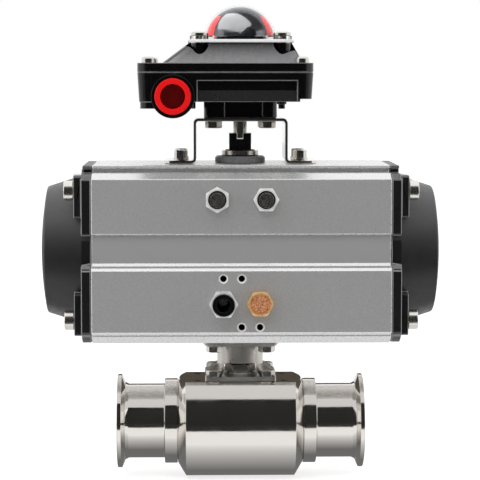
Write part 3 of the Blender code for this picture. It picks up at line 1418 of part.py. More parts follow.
def sensor_board():
    """The board with two sensors beside the cam and a terminal strip."""
    floor = BOX_BOTTOM + BOX_WALL + GAP
    top = floor + SENSOR_HEIGHT
    right = -CAM_RADIUS - CAM_LOBE - SENSOR_GAP
    left = BOX_LEFT + BOX_WALL + PANEL_DEPTH + BOARD_MARGIN
    high = BOX_HALF_Y - BOX_WALL - PANEL_DEPTH - BOARD_MARGIN
    low = BOX_FRONT + CABLE_BOSS_DEPTH + PAST
    board = rectangle(left, right, low, high, BOARD_CORNER, 1)
    made = prism("sensor_board", board, floor, floor + BOARD_THICK, "Z", BOARD)
    for middle in (-SENSOR_SPACING / 2, SENSOR_SPACING / 2):
        reach = SENSOR_WIDTH / 2
        block = rectangle(right - SENSOR_LENGTH, right - SINK, middle - reach, middle + reach)
        join(made, prism("sensor", block, floor + SINK, top, "Z", BOARD))
    strip = rectangle(left + SINK, left + TERMINAL_WIDTH, low + BOARD_CORNER, high - BOARD_CORNER)
    return join(made, prism("strip", strip, floor + SINK, top, "Z", BOARD))


def cable_plug():
    """The red blanking plug in the cable entry, with its recess."""
    face = CABLE_BOSS_FACE - GAP
    inner = BOX_FRONT + PLUG_LENGTH
    profile = [
        (inner, 0),
        (inner, PLUG_THREAD_RADIUS),
        (face, PLUG_THREAD_RADIUS),
        (face, PLUG_RADIUS),
        (face - PLUG_FLANGE + PLUG_CHAMFER, PLUG_RADIUS),
        (face - PLUG_FLANGE, PLUG_RADIUS - PLUG_CHAMFER),
        (face - PLUG_FLANGE, PLUG_RECESS_RADIUS),
        (inner - PLUG_FLOOR, PLUG_RECESS_RADIUS - PLUG_CHAMFER),
        (inner - PLUG_FLOOR, 0),
    ]
    return turned("cable_plug", profile, "Y", ROUND, RED, centre=(CABLE_X, CABLE_Z))


def build():
    """Makes every piece and hangs the moving ones on their joints' axes."""
    valve_body()
    copy_of(connector(), "left_connector", (0, 0, 0), math.pi)
    copy_of(seat(), "left_seat", (0, 0, 0), math.pi)
    stem_packing()
    valve_bracket()
    valve_bolts()
    actuator_body()
    cap = end_cap()
    copy_of(cap, "left_end_cap", (0, 0, 0), math.pi)
    end_cap_screws()
    bearings()
    thrust_ring()
    travel_stops()
    air_fitting()
    silencer()
    switch_bracket()
    foot_bolts()
    box_base()
    box_lid()
    dome()
    sensor_board()
    cable_plug()
    spring("left_spring", -1)
    spring("right_spring", 1)
    drive = empty("drive_axis", (0, 0, 0))
    turning = (ball(), stem(), gland_nut(), pinion(), retaining_ring())
    hang(drive, *turning, switch_shaft(), switch_cam(), indicator())
    pair = (piston(), piston_seal())
    for piece in pair:
        piece.location = (0, 0, BORE_Z)
    twins = [copy_of(piece, piece.name.replace("right", "left"), turn=math.pi) for piece in pair]
    hang(empty("right_slide", (0, 0, BORE_Z)), *pair)
    hang(empty("left_slide", (0, 0, BORE_Z)), *twins)


build()
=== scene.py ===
"""Looks of the pneumatic ball valve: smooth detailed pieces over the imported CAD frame, with their
finishes, the studio, the lights and the camera. Metres, +Z up, the frame's own coordinates."""

import math

import bmesh
import bpy
from mathutils import Matrix, Vector

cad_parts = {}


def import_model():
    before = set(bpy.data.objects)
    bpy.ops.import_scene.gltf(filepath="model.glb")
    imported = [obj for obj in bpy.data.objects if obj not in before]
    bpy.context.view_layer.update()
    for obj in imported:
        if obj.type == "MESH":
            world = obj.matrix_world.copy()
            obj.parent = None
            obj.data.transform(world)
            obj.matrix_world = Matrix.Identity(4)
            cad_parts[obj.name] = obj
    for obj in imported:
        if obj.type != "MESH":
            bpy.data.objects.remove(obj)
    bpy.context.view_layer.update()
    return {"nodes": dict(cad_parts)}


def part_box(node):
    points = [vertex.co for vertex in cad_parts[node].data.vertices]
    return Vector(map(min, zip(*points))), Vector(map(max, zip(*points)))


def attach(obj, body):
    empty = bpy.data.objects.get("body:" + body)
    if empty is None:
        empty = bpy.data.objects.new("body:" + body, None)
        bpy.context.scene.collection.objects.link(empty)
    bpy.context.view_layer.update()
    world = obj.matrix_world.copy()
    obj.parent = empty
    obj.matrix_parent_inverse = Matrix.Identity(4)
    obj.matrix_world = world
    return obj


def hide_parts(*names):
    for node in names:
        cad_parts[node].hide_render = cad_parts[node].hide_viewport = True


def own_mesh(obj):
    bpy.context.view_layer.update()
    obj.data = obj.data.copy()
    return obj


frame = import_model()

# Mesh fineness
FINE = 128  # sides of the big turned parts
ROUND = 64  # sides of shafts, rings and round heads
SMALL = 32  # sides of small holes
ARC = 5  # steps in each rounded corner
CROWN_STEPS = 12  # rings of the end caps' domed faces
SEAT_STEPS = 8  # rings of a seat's hollow face
BEND_STEPS = 8  # steps in each bend of the folded bracket
WIDE_STEPS = 3  # steps in the widest rounded edges
SIXTH = math.pi / 6  # half the angle that a hexagon's side spans
SHARP = math.radians(30)  # edges sharper than this stay edges
GAP = 0.0003  # the frame's clearance between pieces that seat on each other
HAIR = 0.0001  # a distance that doesn't show
PAST = 0.002  # how far a cutter runs past the face that it opens
SINK = 0.001  # how deep a shape runs into the one that it is joined to

# How far a face leans, as a share of its normal, to get a paint of its own: a painted highlight, sheen or
# shade, and the end chamfers' bright cut
SHINE_LEAN = 0.25
CHAMFER_LEAN = (0.3, 0.9)
CAP_LEAN = 0.97
PANEL_LEAN = 0.9
PANEL_RISE = 0.1
PYRAMID_LEAN = (0.15, 0.8)

# Rounded edges
EDGE_TINY = 0.00015
EDGE_BOLT = 0.00018
EDGE_THIN = 0.0002
EDGE_PLAIN = 0.0003
EDGE_SOFT = 0.0004
EDGE_WIDE = 0.0005
EDGE_BLUNT = 0.0006
GROOVE_ROUND = 0.0008
HEAD_ROUND = 0.0009
TUBE_FILLET = 0.0010
CROWN_ROUND = 0.0015

# Valve and pipe ends
BALL_RADIUS = 0.0262
BALL_BORE_RADIUS = 0.0180
SEAT_LIP_RADIUS = 0.0235
SEAT_LENGTH = 0.0130
SEAT_BACK = 0.0253
BODY_BORE_RADIUS = 0.0268
BODY_NOSE_RADIUS = 0.0285
BODY_RADIUS = 0.03765
BODY_FLAT_Z = 0.0300
BODY_STRAIGHT_HALF = 0.0370
BODY_HALF = 0.0425
TUBE_RADIUS = 0.0254
TUBE_WALL = 0.00165
COLLAR_RADIUS = 0.0290
COLLAR_LENGTH = 0.0087
FERRULE_RADIUS = 0.0320
FERRULE_RIM = 0.00285
FERRULE_TAPER = 0.0048
FERRULE_SWELL = 0.0012
FACE_HALF = 0.0837
GROOVE_RADIUS = 0.02815
GROOVE_HALF_WIDTH = 0.0022
GROOVE_DEPTH = 0.0015
BOSS_RADIUS = 0.0105
BOSS_TOP = 0.0330
STEM_RADIUS = 0.0065
TANG_WIDTH = 0.0060
PACKING_RADIUS = 0.0087
PACKING_TOP = 0.0340
GLAND_NUT_FLATS = 0.0180
GLAND_NUT_HEIGHT = 0.0058

# Valve bracket and the M6 bolts
BOLT_SQUARE_HALF = 0.01768
FLANGE_HALF_X = 0.0240
FLANGE_HALF_Y = 0.0220
FLANGE_BOTTOM = 0.0303
FLANGE_THICK = 0.0040
FLANGE_CORNER = 0.0015
FLANGE_CHAMFER = 0.0070
FLANGE_TOP_HALF_X = 0.0165
FLANGE_RISE = 0.0055
NECK_RADIUS = 0.0156
NECK_WALL = 0.0028
WINDOW_HALF = 0.0113
WINDOW_HEIGHT = 0.0083
WINDOW_CORNER = 0.0030
TOP_PLATE_HALF = 0.02525
TOP_PLATE_THICK = 0.0052
TOP_PLATE_CHAMFER = 0.0015
TOP_PLATE_CORNER = 0.0040
HEX_FACE = 0.96  # share of a hexagon's flats that its chamfer leaves
M6_RADIUS = 0.0030
M6_FLATS = 0.0100
M6_HEAD = 0.0041
M6_DEPTH = 0.0075
BOLT_TURN = 0.16
SPARE_HOLE_X = 0.0292
SPARE_HOLE_Y = 0.0155
SPARE_HOLE_RADIUS = 0.0021

# Actuator body
ACTUATOR_BOTTOM = 0.0599
ACTUATOR_TOP = 0.1774
BORE_Z = 0.1184
CYLINDER_RADIUS = 0.0460
BODY_END = 0.0986
EDGE_ROUND = 0.0012
RAIL_HALF = 0.0350
RAIL_HEIGHT = 0.0022
RAIL_GROOVE = 0.0035
RAIL_UNDERCUT = 0.0004
SHOULDER_DROP = 0.0050
SHOULDER_SLOPE = 0.0080
UPPER_PAD_HALF = 0.0530
UPPER_PAD_DROP = 0.0085
BAND_HALF = 0.0500
BAND_TOP = 0.0729
BAND_BOTTOM = 0.0536
BAND_STEP = 0.0008
LOWER_PAD_HALF = 0.0570
LOWER_PAD_TOP = 0.0490
LOWER_PAD_BOTTOM = 0.0084
LEDGE_CHAMFER = 0.0014
LEDGE_STEP_HALF = 0.0532
LEDGE_STEP_TOP = 0.0519
LEDGE_STEP_BOTTOM = 0.0508
SKIRT_STEP_HALF = 0.0545
SKIRT_STEP_TOP = 0.0066
SKIRT_STEP_BOTTOM = 0.0056
SKIRT_HEIGHT = 0.0028
SKIRT_IN = 0.0050
PORT_HALF = 0.0120
PORT_Z = 0.0879
PORT_RADIUS = 0.0065
PORT_DEPTH = 0.0110
PILOT_RADIUS = 0.0021
PILOT_RISE = 0.0160
PILOT_CHAMFER = 0.0010
END_CHAMFER = 0.0007
NAMUR_X = 0.0400
NAMUR_Y = 0.0150
LOWER_HOLE_RADIUS = 0.0186
UPPER_HOLE_RADIUS = 0.0151

# End caps and their screws
CAP_FLANGE = 0.0062
CAP_BOSS = 0.0050
CAP_INSET = 0.0005
CAP_BOSS_HEIGHT = 0.0280
CAP_BOSS_SHIFT = 0.0040
CAP_BOSS_MARGIN = 0.0020
CAP_NOTCH = 0.0030
CAP_NOTCH_LOW = 0.0050
CAP_NOTCH_HIGH = 0.0135
CAP_DOME_RADIUS = 0.0510
CAP_EDGE_RADIUS = 0.0430
CAP_CROWN = 0.0040
CAP_LENGTH = 0.0357
CAP_WALL = 0.0060
CAP_DRAFT = 0.0012
CAP_SCREW_Y = 0.0460
CAP_SCREW_Z = 0.0428
CAP_SCREW_RADIUS = 0.0040
CAP_SCREW_HEAD_RADIUS = 0.0065
CAP_SCREW_HEAD = 0.0062
CAP_SCREW_DEPTH = 0.0140
CAP_SCREW_KEY = 0.0060
CAP_SCREW_KEY_DEPTH = 0.0037

# Stops, rings and fittings
STOP_X = 0.0160
STOP_Z = 0.1557
STOP_RADIUS = 0.0050
STOP_TIP = 0.0083
STOP_NUT_FLATS = 0.0148
STOP_NUT_HEIGHT = 0.0050
STOP_END = 0.0035
STOP_CHAMFER = 0.0005
THRUST_RING_RADIUS = 0.0170
THRUST_RING_HEIGHT = 0.0045
THRUST_RING_CHAMFER = 0.0012
RING_BORE_RADIUS = 0.0123
RETAINING_RING_RADIUS = 0.0125
RETAINING_RING_LOW = 0.1828
RETAINING_RING_HEIGHT = 0.0030
RETAINING_RING_BORE = 0.0103
RETAINING_MOUTH_HALF = 0.0072
HEX_FLATS = 0.0165
FITTING_LENGTH = 0.0100
TUBE_SOCKET_RADIUS = 0.0041
TUBE_SOCKET_DEPTH = 0.0033
AIR_WAY_RADIUS = 0.0029
COLLET_RADIUS = 0.0073
COLLET_SLEEVE_RADIUS = 0.0053
COLLET_FLANGE = 0.0018
COLLET_TRAVEL = 0.0010
COLLET_LENGTH = 0.0060
COLLET_CHAMFER = 0.0005
SILENCER_FLATS = 0.0157
SILENCER_HEX = 0.0070
SILENCER_ROUND = 0.0086
SILENCER_DISC_RADIUS = 0.0066
SILENCER_DISC = 0.0012

# Switch bracket and its bolts
PLATE = 0.0020
LEG_OUTER_X = 0.0316
FOOT_END_X = 0.0510
BRACKET_HALF_Y = 0.0230
BRACKET_BOTTOM = 0.1777
BRACKET_TOP = 0.2079
BEND_RADIUS = 0.0035
BRACKET_CORNER = 0.0060
BRACKET_HOLE_RADIUS = 0.0090
FOOT_SCREW_RADIUS = 0.0025
FOOT_SCREW_FLATS = 0.0080
FOOT_SCREW_HEAD = 0.0055
FOOT_WASHER_RADIUS = 0.0052
FOOT_WASHER = 0.0010
FOOT_SCREW_DEPTH = 0.0080

# Switch box
BOX_LEFT = -0.0683
BOX_RIGHT = 0.0475
BOX_HALF_Y = 0.0480
BOX_CORNER = 0.0090
BOX_DRAFT = 0.0012
BOX_WALL = 0.0030
BOX_MOUNT_BOTTOM = 0.2082
BOX_MOUNT_HALF_X = 0.0245
BOX_MOUNT_HALF_Y = 0.0190
BOX_MOUNT_CORNER = 0.0050
BOX_BOTTOM = 0.2192
SEAM_Z = 0.2385
BASE_STEP = 0.0045
STEP_INSET = 0.0006
LEFT_PART_RIGHT = -0.0301
CABLE_X = -0.0449
CABLE_Z = 0.2228
CABLE_BOSS_RADIUS = 0.0143
CABLE_BOSS_PROUD = 0.0015
CABLE_BOSS_DEPTH = 0.0300
PLUG_RADIUS = 0.0119
PLUG_THREAD_RADIUS = 0.0095
PLUG_RECESS_RADIUS = 0.0081
PLUG_FLANGE = 0.0030
PLUG_LENGTH = 0.0120
PLUG_FLOOR = 0.0025
PANEL_LEFT = -0.0290
PANEL_RIGHT = 0.0367
PANEL_DEPTH = 0.0030
PANEL_HEIGHT = 0.0140
PANEL_LIP = 0.0018
PANEL_SLOPE = 0.0075
RIGHT_STEP = 0.0018
RECESS_LEFT = -0.0107
RECESS_RIGHT = 0.0146
RECESS_DEPTH = 0.0030
GASKET_INSET = 0.0006
BOX_EDGE = 0.00035
LID_FLANGE = 0.0059
LID_RISE = 0.0135
LID_FOOT_HALF_Y = 0.0390
LID_FOOT_LEFT = -0.0520
LID_FOOT_RIGHT = 0.0410
DOME_HALF = 0.0340
DOME_CORNER = 0.0080
DOME_SCREW = 0.0273
DOME_PILLAR_RADIUS = 0.0055
DOME_POCKET_RADIUS = 0.0095
DOME_POCKET_DEPTH = 0.0085
DOME_FLANGE = 0.0040
DOME_RADIUS = 0.0251
DOME_WALL = 0.0010
DOME_FOOT_ANGLE = math.radians(8)
DOME_SLEEVE_RADIUS = 0.0058
DOME_LIP = 0.0018
DOME_LIP_OUT = 0.0012
INDICATOR_SHARE = 1.25
INDICATOR_RED_TOP = 0.0165
DOME_SCREW_RADIUS = 0.0058
DOME_SCREW_HEAD = 0.0024
INDICATOR_GAP = 0.0008
LID_SCREW_RADIUS = 0.0046
LID_SCREW_HEIGHT = 0.0040
LID_SCREW_INSET = 0.0075
SCREW_SIDE = 0.7  # share of a round head's height that is straight
SCREW_TOP = 0.78  # share of its radius that is left on top
CROSS_REACH = 0.55  # shares of its radius for the cross recess
CROSS_ARM = 0.13
CROSS_FLOOR = 0.45  # share of its height below the recess
BOX_SCREW_X = 0.0180
BOX_SCREW_Y = 0.0125
BOX_SCREW_RADIUS = 0.0029
BOX_SCREW_HEAD = 0.0045
SWITCH_SHAFT_RADIUS = 0.0046
SHAFT_LOW = 0.1977
SHAFT_TOP = 0.2685
DRIVE_SLOT = 0.0044
DRIVE_SLOT_DEPTH = 0.0040
DRIVE_BLADE_HALF = 0.0039
GROUND_PEG_X = 0.0266
GROUND_PEG_Y = -0.0400
GROUND_PEG_RADIUS = 0.0022
GROUND_PEG_LENGTH = 0.0046

# Heights that follow
FLANGE_TOP = FLANGE_BOTTOM + FLANGE_THICK
TOP_PLATE_TOP = ACTUATOR_BOTTOM - GAP
TOP_PLATE_BOTTOM = TOP_PLATE_TOP - TOP_PLATE_THICK
LID_BOTTOM = SEAM_Z + GAP
LID_SHELF = LID_BOTTOM + LID_FLANGE
LID_TOP = LID_SHELF + LID_RISE
DOME_BOTTOM = LID_TOP + GAP
BOX_FRONT = -BOX_HALF_Y
CABLE_BOSS_FACE = BOX_FRONT - CABLE_BOSS_PROUD


def node(tree, kind, **inputs):
    """A shader node, its inputs by name with _ for a space, each a value or a link."""
    made = tree.nodes.new(f"ShaderNode{kind}")
    for name, value in inputs.items():
        socket = made.inputs[name.replace("_", " ")]
        if isinstance(value, bpy.types.NodeSocket):
            tree.links.new(value, socket)
        else:
            socket.default_value = value
    return made


def worked(tree, operation, *values):
    """A Math node on linked values."""
    made = node(tree, "Math")
    made.operation = operation
    for index, value in enumerate(values):
        tree.links.new(value, made.inputs[index])
    return made.outputs["Value"]


def own_place(tree):
    """The piece's own coordinates."""
    return node(tree, "TexCoord").outputs["Object"]


def own_axis(tree, axis):
    """One of the piece's own coordinates."""
    return node(tree, "SeparateXYZ", Vector=own_place(tree)).outputs[axis]


def noise_of(tree, scale, detail=2.0):
    """A noise on the piece's own coordinates, its scale in waves per metre."""
    return node(tree, "TexNoise", Vector=own_place(tree), Scale=scale, Detail=detail).outputs["Fac"]


def spread(tree, value, low, high, start=0.3, end=0.7):
    """The value mapped from start and end to low and high."""
    reach = {"From_Min": start, "From_Max": end, "To_Min": low, "To_Max": high}
    return node(tree, "MapRange", Value=value, **reach).outputs["Result"]


def finish(name, colour, roughness, metallic=0.0, **sockets):
    """A Principled material, with any other of its sockets by name, _ standing for a space."""
    made = bpy.data.materials.new(name)
    made.use_nodes = True
    shader = made.node_tree.nodes["Principled BSDF"]
    values = {"Base_Color": (*colour, 1.0), "Roughness": roughness, "Metallic": metallic, **sockets}
    for socket, value in values.items():
        shader.inputs[socket.replace("_", " ")].default_value = value
    return made


def drive(made, socket, value):
    """Links a value to one of the shader's sockets."""
    tree = made.node_tree
    tree.links.new(value, tree.nodes["Principled BSDF"].inputs[socket])
    return made


def tint(made, value, *stops, interpolation="LINEAR"):
    """Base colour that follows a value through (position, colour) stops."""
    ramp = node(made.node_tree, "ValToRGB", Fac=value)
    ramp.color_ramp.interpolation = interpolation
    elements = ramp.color_ramp.elements
    for index, (position, colour) in enumerate(stops):
        stop = elements[index] if index < 2 else elements.new(position)
        stop.position = position
        stop.color = (*colour, 1.0)
    return drive(made, "Base Color", ramp.outputs["Color"])


def rise(made, low, high, *stops, interpolation="LINEAR"):
    """Base colour that follows the height between low and high."""
    tree = made.node_tree
    share = spread(tree, own_axis(tree, "Z"), 0.0, 1.0, low, high)
    return tint(made, share, *stops, interpolation=interpolation)


def mottle(made, dark, light, scale, detail=2.0):
    """Base colour that wanders between two colours."""
    return tint(made, noise_of(made.node_tree, scale, detail), (0.35, dark), (0.65, light))


def smudge(made, low, high, scale, detail=3.0):
    """Roughness that wanders between two values."""
    tree = made.node_tree
    return drive(made, "Roughness", spread(tree, noise_of(tree, scale, detail), low, high))


def grain(made, height, scale, detail=2.0, strength=1.0):
    """A bump of about this height in metres."""
    tree = made.node_tree
    noise = noise_of(tree, scale, detail)
    bump = node(tree, "Bump", Distance=height, Strength=strength, Height=noise)
    return drive(made, "Normal", bump.outputs["Normal"])


def coat(name, colour, roughness, metallic=0.0, *, mottled=(), smudged=(), grained=(), **sockets):
    """A finish with what its mottle, smudge and grain take, where it has them."""
    made = finish(name, colour, roughness, metallic, **sockets)
    for change, values in ((mottle, mottled), (smudge, smudged), (grain, grained)):
        if values:
            change(made, *values)
    return made


def grey(value):
    """A neutral colour."""
    return (value, value, value)


# Electropolished stainless steel, with a faint waviness
STEEL = coat(
    "polished steel", (0.83, 0.80, 0.76), 0.10, 1.0,
    smudged=(0.07, 0.14, 60),
    grained=(0.00002, 160),
)
# The bracket's satin castings
CAST = coat("cast steel", (0.68, 0.65, 0.61), 0.28, 0.9, smudged=(0.24, 0.36, 120), grained=(0.00003, 400))
# Plain stainless fasteners
BOLT = coat(
    "bolt steel", (0.74, 0.72, 0.68), 0.24, 1.0,
    smudged=(0.20, 0.28, 180),
    grained=(0.000008, 350),
)
# The lock nuts' bright plating
ZINC = coat(
    "zinc plate", (0.97, 0.97, 0.96), 0.34, 0.15,
    smudged=(0.28, 0.40, 500),
    grained=(0.00002, 700),
)
# The stop screws' ends, painted dark as a painted reflection
STOP_END_REFLECTION = coat(
    "steel painted dark reflection", (0.085, 0.080, 0.072), 0.30, 0.5,
    mottled=((0.030, 0.028, 0.026), (0.17, 0.16, 0.15), 900),
    grained=(0.0002, 900),
)
# The end caps' turned socket heads
TURNED = coat(
    "turned bolt steel", (0.86, 0.83, 0.79), 0.26, 1.0,
    smudged=(0.24, 0.28, 300),
    grained=(0.000008, 350),
)
# Bead-blasted and anodised aluminium, with its fine sparkle
ALUMINIUM = coat(
    "blasted aluminium", grey(0.55), 0.48, 0.40,
    mottled=(grey(0.50), grey(0.60), 2200, 1.0),
    smudged=(0.40, 0.56, 900),
    grained=(0.00005, 1800, 2.0),
)
# Bright cut edges and bores, and a painted highlight on the extrusion's leaning faces, rails and skirt
BRIGHT = coat("machined aluminium and painted highlight", grey(0.96), 0.28, 0.5, smudged=(0.25, 0.31, 250))
# The white ring that a countersink leaves in the anodised face
CHAMFER = coat("cut chamfer", grey(0.93), 0.45, 0.1, smudged=(0.38, 0.52, 1500))
# The end caps' powder coat, with a painted sheen: lighter towards the top, darker at mid-height and a
# little lighter at the bottom
PAINTED_SHEEN_CAP_COAT = rise(
    coat(
        "matte black coat painted sheen", (0.032, 0.032, 0.033), 0.42,
        smudged=(0.34, 0.48, 300),
        grained=(0.00006, 1500),
    ),
    BORE_Z - CAP_DOME_RADIUS,
    BORE_Z + CAP_DOME_RADIUS,
    (0.0, (0.044, 0.044, 0.045)),
    (1.0, (0.120, 0.120, 0.124)),
    (0.45, (0.020, 0.020, 0.021)),
    interpolation="EASE",
)
# Painted highlight on the powder coat's thin edges, lighter than the coat
CAP_EDGE_HIGHLIGHT = coat("matte black edge highlight", grey(0.30), 0.34, smudged=(0.28, 0.40, 500))
# The end caps' flat faces, painted darker than the domes as painted shade
CAP_FACE_SHADE = coat(
    "matte black face painted shade", grey(0.010), 0.40,
    mottled=(grey(0.008), grey(0.013), 1500),
    smudged=(0.34, 0.46, 300),
)
# The switch box's smoother lacquer over die-cast aluminium
SATIN = coat(
    "satin black lacquer", (0.0030, 0.0030, 0.0033), 0.20,
    mottled=((0.0022, 0.0022, 0.0025), (0.0042, 0.0042, 0.0046), 600),
    smudged=(0.16, 0.26, 250),
    grained=(0.00002, 500),
)
# The lacquer on the panel's slope, which leans towards the light, painted lighter as a painted highlight
LACQUER_SLOPE_HIGHLIGHT = coat("satin black slope highlight", (0.024, 0.024, 0.025), 0.26, smudged=(0.22, 0.30, 250))
# Painted highlight on the lacquer's edges
LACQUER_EDGE_HIGHLIGHT = coat(
    "satin black edge highlight", (0.26, 0.26, 0.265), 0.30, 0.3,
    mottled=((0.22, 0.22, 0.225), (0.30, 0.30, 0.305), 300),
    smudged=(0.26, 0.36, 300),
)
# The lid's slopes, with a painted sheen that grows lighter towards their foot
LID_PAINTED_SHEEN = rise(
    coat("satin black painted sheen", (0.10, 0.10, 0.105), 0.26, smudged=(0.20, 0.32, 200)),
    LID_SHELF,
    LID_TOP,
    (0.0, (0.40, 0.40, 0.41)),
    (1.0, (0.012, 0.012, 0.013)),
)
# The pinion's hard black oxide
OXIDE = coat("black oxide", grey(0.010), 0.30, 0.4, smudged=(0.24, 0.38, 500))
# Nickel-plated brass
NICKEL = coat("nickel plate", grey(0.94), 0.30, 0.35, smudged=(0.24, 0.36, 400), grained=(0.00002, 900))
# Brass bar
BRASS = coat("brass", (1.0, 0.62, 0.26), 0.30, 0.4, smudged=(0.24, 0.36, 600), grained=(0.00002, 1500))
# The silencer's sintered grains
COPPER = coat(
    "sintered copper", (0.74, 0.32, 0.14), 0.55, 0.2,
    mottled=((0.46, 0.16, 0.06), (0.96, 0.46, 0.22), 1100),
    grained=(0.0003, 1100, 1.0),
)
# Filled PTFE seats, packing and bushes
WHITE = coat(
    "seat plastic", (0.82, 0.82, 0.80), 0.38,
    mottled=((0.78, 0.78, 0.76), (0.86, 0.86, 0.84), 300),
    grained=(0.00003, 800),
)
# The thrust ring's dark grey plastic
GREY = coat(
    "dark grey plastic", (0.23, 0.23, 0.232), 0.36,
    mottled=((0.19, 0.19, 0.192), (0.27, 0.27, 0.272), 900),
    grained=(0.00004, 1200),
)
# The release collet's moulded plastic
COLLET = coat("black plastic", grey(0.004), 0.24, smudged=(0.20, 0.28, 600), grained=(0.00003, 900))
# Seals
RUBBER = coat("rubber", grey(0.018), 0.65, grained=(0.00005, 1500))
# Coated spring wire
SPRING = coat(
    "spring wire", (0.32, 0.28, 0.22), 0.36, 1.0,
    smudged=(0.28, 0.46, 900),
    grained=(0.00003, 1600),
)
# Red moulded plastic
RED = coat(
    "red plastic", (1.0, 0.004, 0.005), 0.30,
    mottled=((0.97, 0.003, 0.004), (1.0, 0.006, 0.007), 500),
    smudged=(0.24, 0.36, 700),
    grained=(0.00003, 800),
    Specular_IOR_Level=0.25,
)
# Painted shade in the red plug's deep recess
RED_RECESS_SHADE = coat(
    "red recess painted shade", (0.34, 0.001, 0.001), 0.45,
    mottled=((0.30, 0.001, 0.001), (0.38, 0.001, 0.001), 400),
    Specular_IOR_Level=0.1,
)
# The indicator's glossy black sectors
BLACK_GLOSS = coat(
    "glossy black", (0.004, 0.004, 0.008), 0.18,
    smudged=(0.14, 0.22, 300),
    Specular_IOR_Level=0.9,
)
# Clear polycarbonate
CLEAR = coat(
    "clear polycarbonate", (0.96, 0.97, 0.98), 0.02,
    smudged=(0.01, 0.04, 120),
    Transmission_Weight=1.0, IOR=1.30,
)
# The dome's lower lip, painted white as a painted highlight for the flange's bright lower edge
LIP_HIGHLIGHT = coat("lip painted highlight", (0.97, 0.97, 0.98), 0.45, smudged=(0.40, 0.50, 60))
# The sensors' plastic inside the box
SENSOR = coat(
    "sensor plastic", (0.05, 0.12, 0.25), 0.45,
    mottled=((0.04, 0.10, 0.22), (0.07, 0.15, 0.30), 700),
)
# Painted shadow at the bottom of a tapped hole, and in sockets, recesses and nut mouths
HOLE_SHADOW = coat("hole shadow", grey(0.004), 0.7, grained=(0.0001, 1500))


def filleted(corners, steps=ARC):
    """The outline through (x, y, radius) corners, each rounded by its radius."""
    points = []
    for index, (x, y, radius) in enumerate(corners):
        here = Vector((x, y))
        if radius == 0:
            points.append((x, y))
            continue
        before = Vector(corners[index - 1][:2]) - here
        after = Vector(corners[(index + 1) % len(corners)][:2]) - here
        half = before.angle(after) / 2
        middle = (before.normalized() + after.normalized()).normalized()
        centre = here + middle * radius / math.sin(half)
        start = here + before.normalized() * radius / math.tan(half) - centre
        end = here + after.normalized() * radius / math.tan(half) - centre
        turn = start.angle_signed(end)
        for step in range(steps + 1):
            spoke = start.copy()
            spoke.rotate(Matrix.Rotation(-turn * step / steps, 2))
            points.append(tuple(centre + spoke))
    return points


def rectangle(left, right, low, high, radius=0.0, steps=ARC):
    """A rectangle's outline with rounded corners."""
    corners = [(left, low), (right, low), (right, high), (left, high)]
    return filleted([(x, y, radius) for x, y in corners], steps)


def circle(radius, sides=ROUND, x=0.0, y=0.0):
    """A circle's outline."""
    turns = [2 * math.pi * side / sides for side in range(sides)]
    return [(x + radius * math.cos(turn), y + radius * math.sin(turn)) for turn in turns]


def hexagon(flats, corner_up=True):
    """A hexagon's outline across these flats, with a corner along the first axis or the second."""
    start = math.pi / 2 if corner_up else 0.0
    reach = flats / 2 / math.cos(SIXTH)
    turns = [start + math.pi * side / 3 for side in range(6)]
    return [(reach * math.cos(turn), reach * math.sin(turn)) for turn in turns]


def axis_point(axis, along, first, second):
    """A point at this height along X, Y or Z, with the other two coordinates in X, Y, Z order."""
    if axis == "X":
        return (along, first, second)
    if axis == "Y":
        return (first, along, second)
    return (first, second, along)


def smooth(mesh):
    """Smooths round faces and keeps real edges sharp."""
    mesh.shade_smooth()
    mesh.set_sharp_from_angle(angle=SHARP)


def solid(bm, paint):
    """Makes an object of a mesh, with its faces out and its round faces smooth."""
    bmesh.ops.recalc_face_normals(bm, faces=bm.faces)
    mesh = bpy.data.meshes.new("shape")
    bm.to_mesh(mesh)
    bm.free()
    mesh.materials.append(paint)
    smooth(mesh)
    made = bpy.data.objects.new("shape", mesh)
    bpy.context.scene.collection.objects.link(made)
    return made


def bridged(bm, low, high):
    """Faces between two loops of as many points."""
    for index in range(len(low)):
        after = (index + 1) % len(low)
        bm.faces.new((low[index], low[after], high[after], high[index]))


def lofted(levels, axis, paint):
    """A solid through outlines of as many points, each given as (height, outline)."""
    bm = bmesh.new()
    loops = []
    for along, outline in levels:
        loops.append([bm.verts.new(axis_point(axis, along, *point)) for point in outline])
    for low, high in zip(loops, loops[1:]):
        bridged(bm, low, high)
    bm.faces.new(loops[0])
    bm.faces.new(loops[-1])
    return solid(bm, paint)


def scaled(outline, share, share_y=None):
    """An outline drawn in or out from the middle."""
    share_y = share if share_y is None else share_y
    return [(x * share, y * share_y) for x, y in outline]


def prism(outline, low, high, axis, paint):
    """An outline extruded along an axis."""
    return lofted([(low, outline), (high, outline)], axis, paint)


def turned(profile, axis, paint, sides=ROUND, ring=False, centre=(0.0, 0.0)):
    """A profile of (along, radius) turned about an axis. A ring's profile closes on itself, and any
    other ends on the axis."""
    if not ring and profile[0][1] > 0:
        profile = [(profile[0][0], 0), *profile]
    if not ring and profile[-1][1] > 0:
        profile = [*profile, (profile[-1][0], 0)]
    bm = bmesh.new()
    loops = []
    for along, radius in profile:
        if radius == 0:
            loops.append([bm.verts.new(axis_point(axis, along, *centre))])
        else:
            outline = circle(radius, sides, *centre)
            loops.append([bm.verts.new(axis_point(axis, along, *point)) for point in outline])
    pairs = list(zip(loops, loops[1:]))
    if ring:
        pairs.append((loops[-1], loops[0]))
    for low, high in pairs:
        if len(low) == 1 or len(high) == 1:
            tip, loop = (low[0], high) if len(low) == 1 else (high[0], low)
            for index in range(sides):
                bm.faces.new((tip, loop[index], loop[(index + 1) % sides]))
        else:
            bridged(bm, low, high)
    return solid(bm, paint)


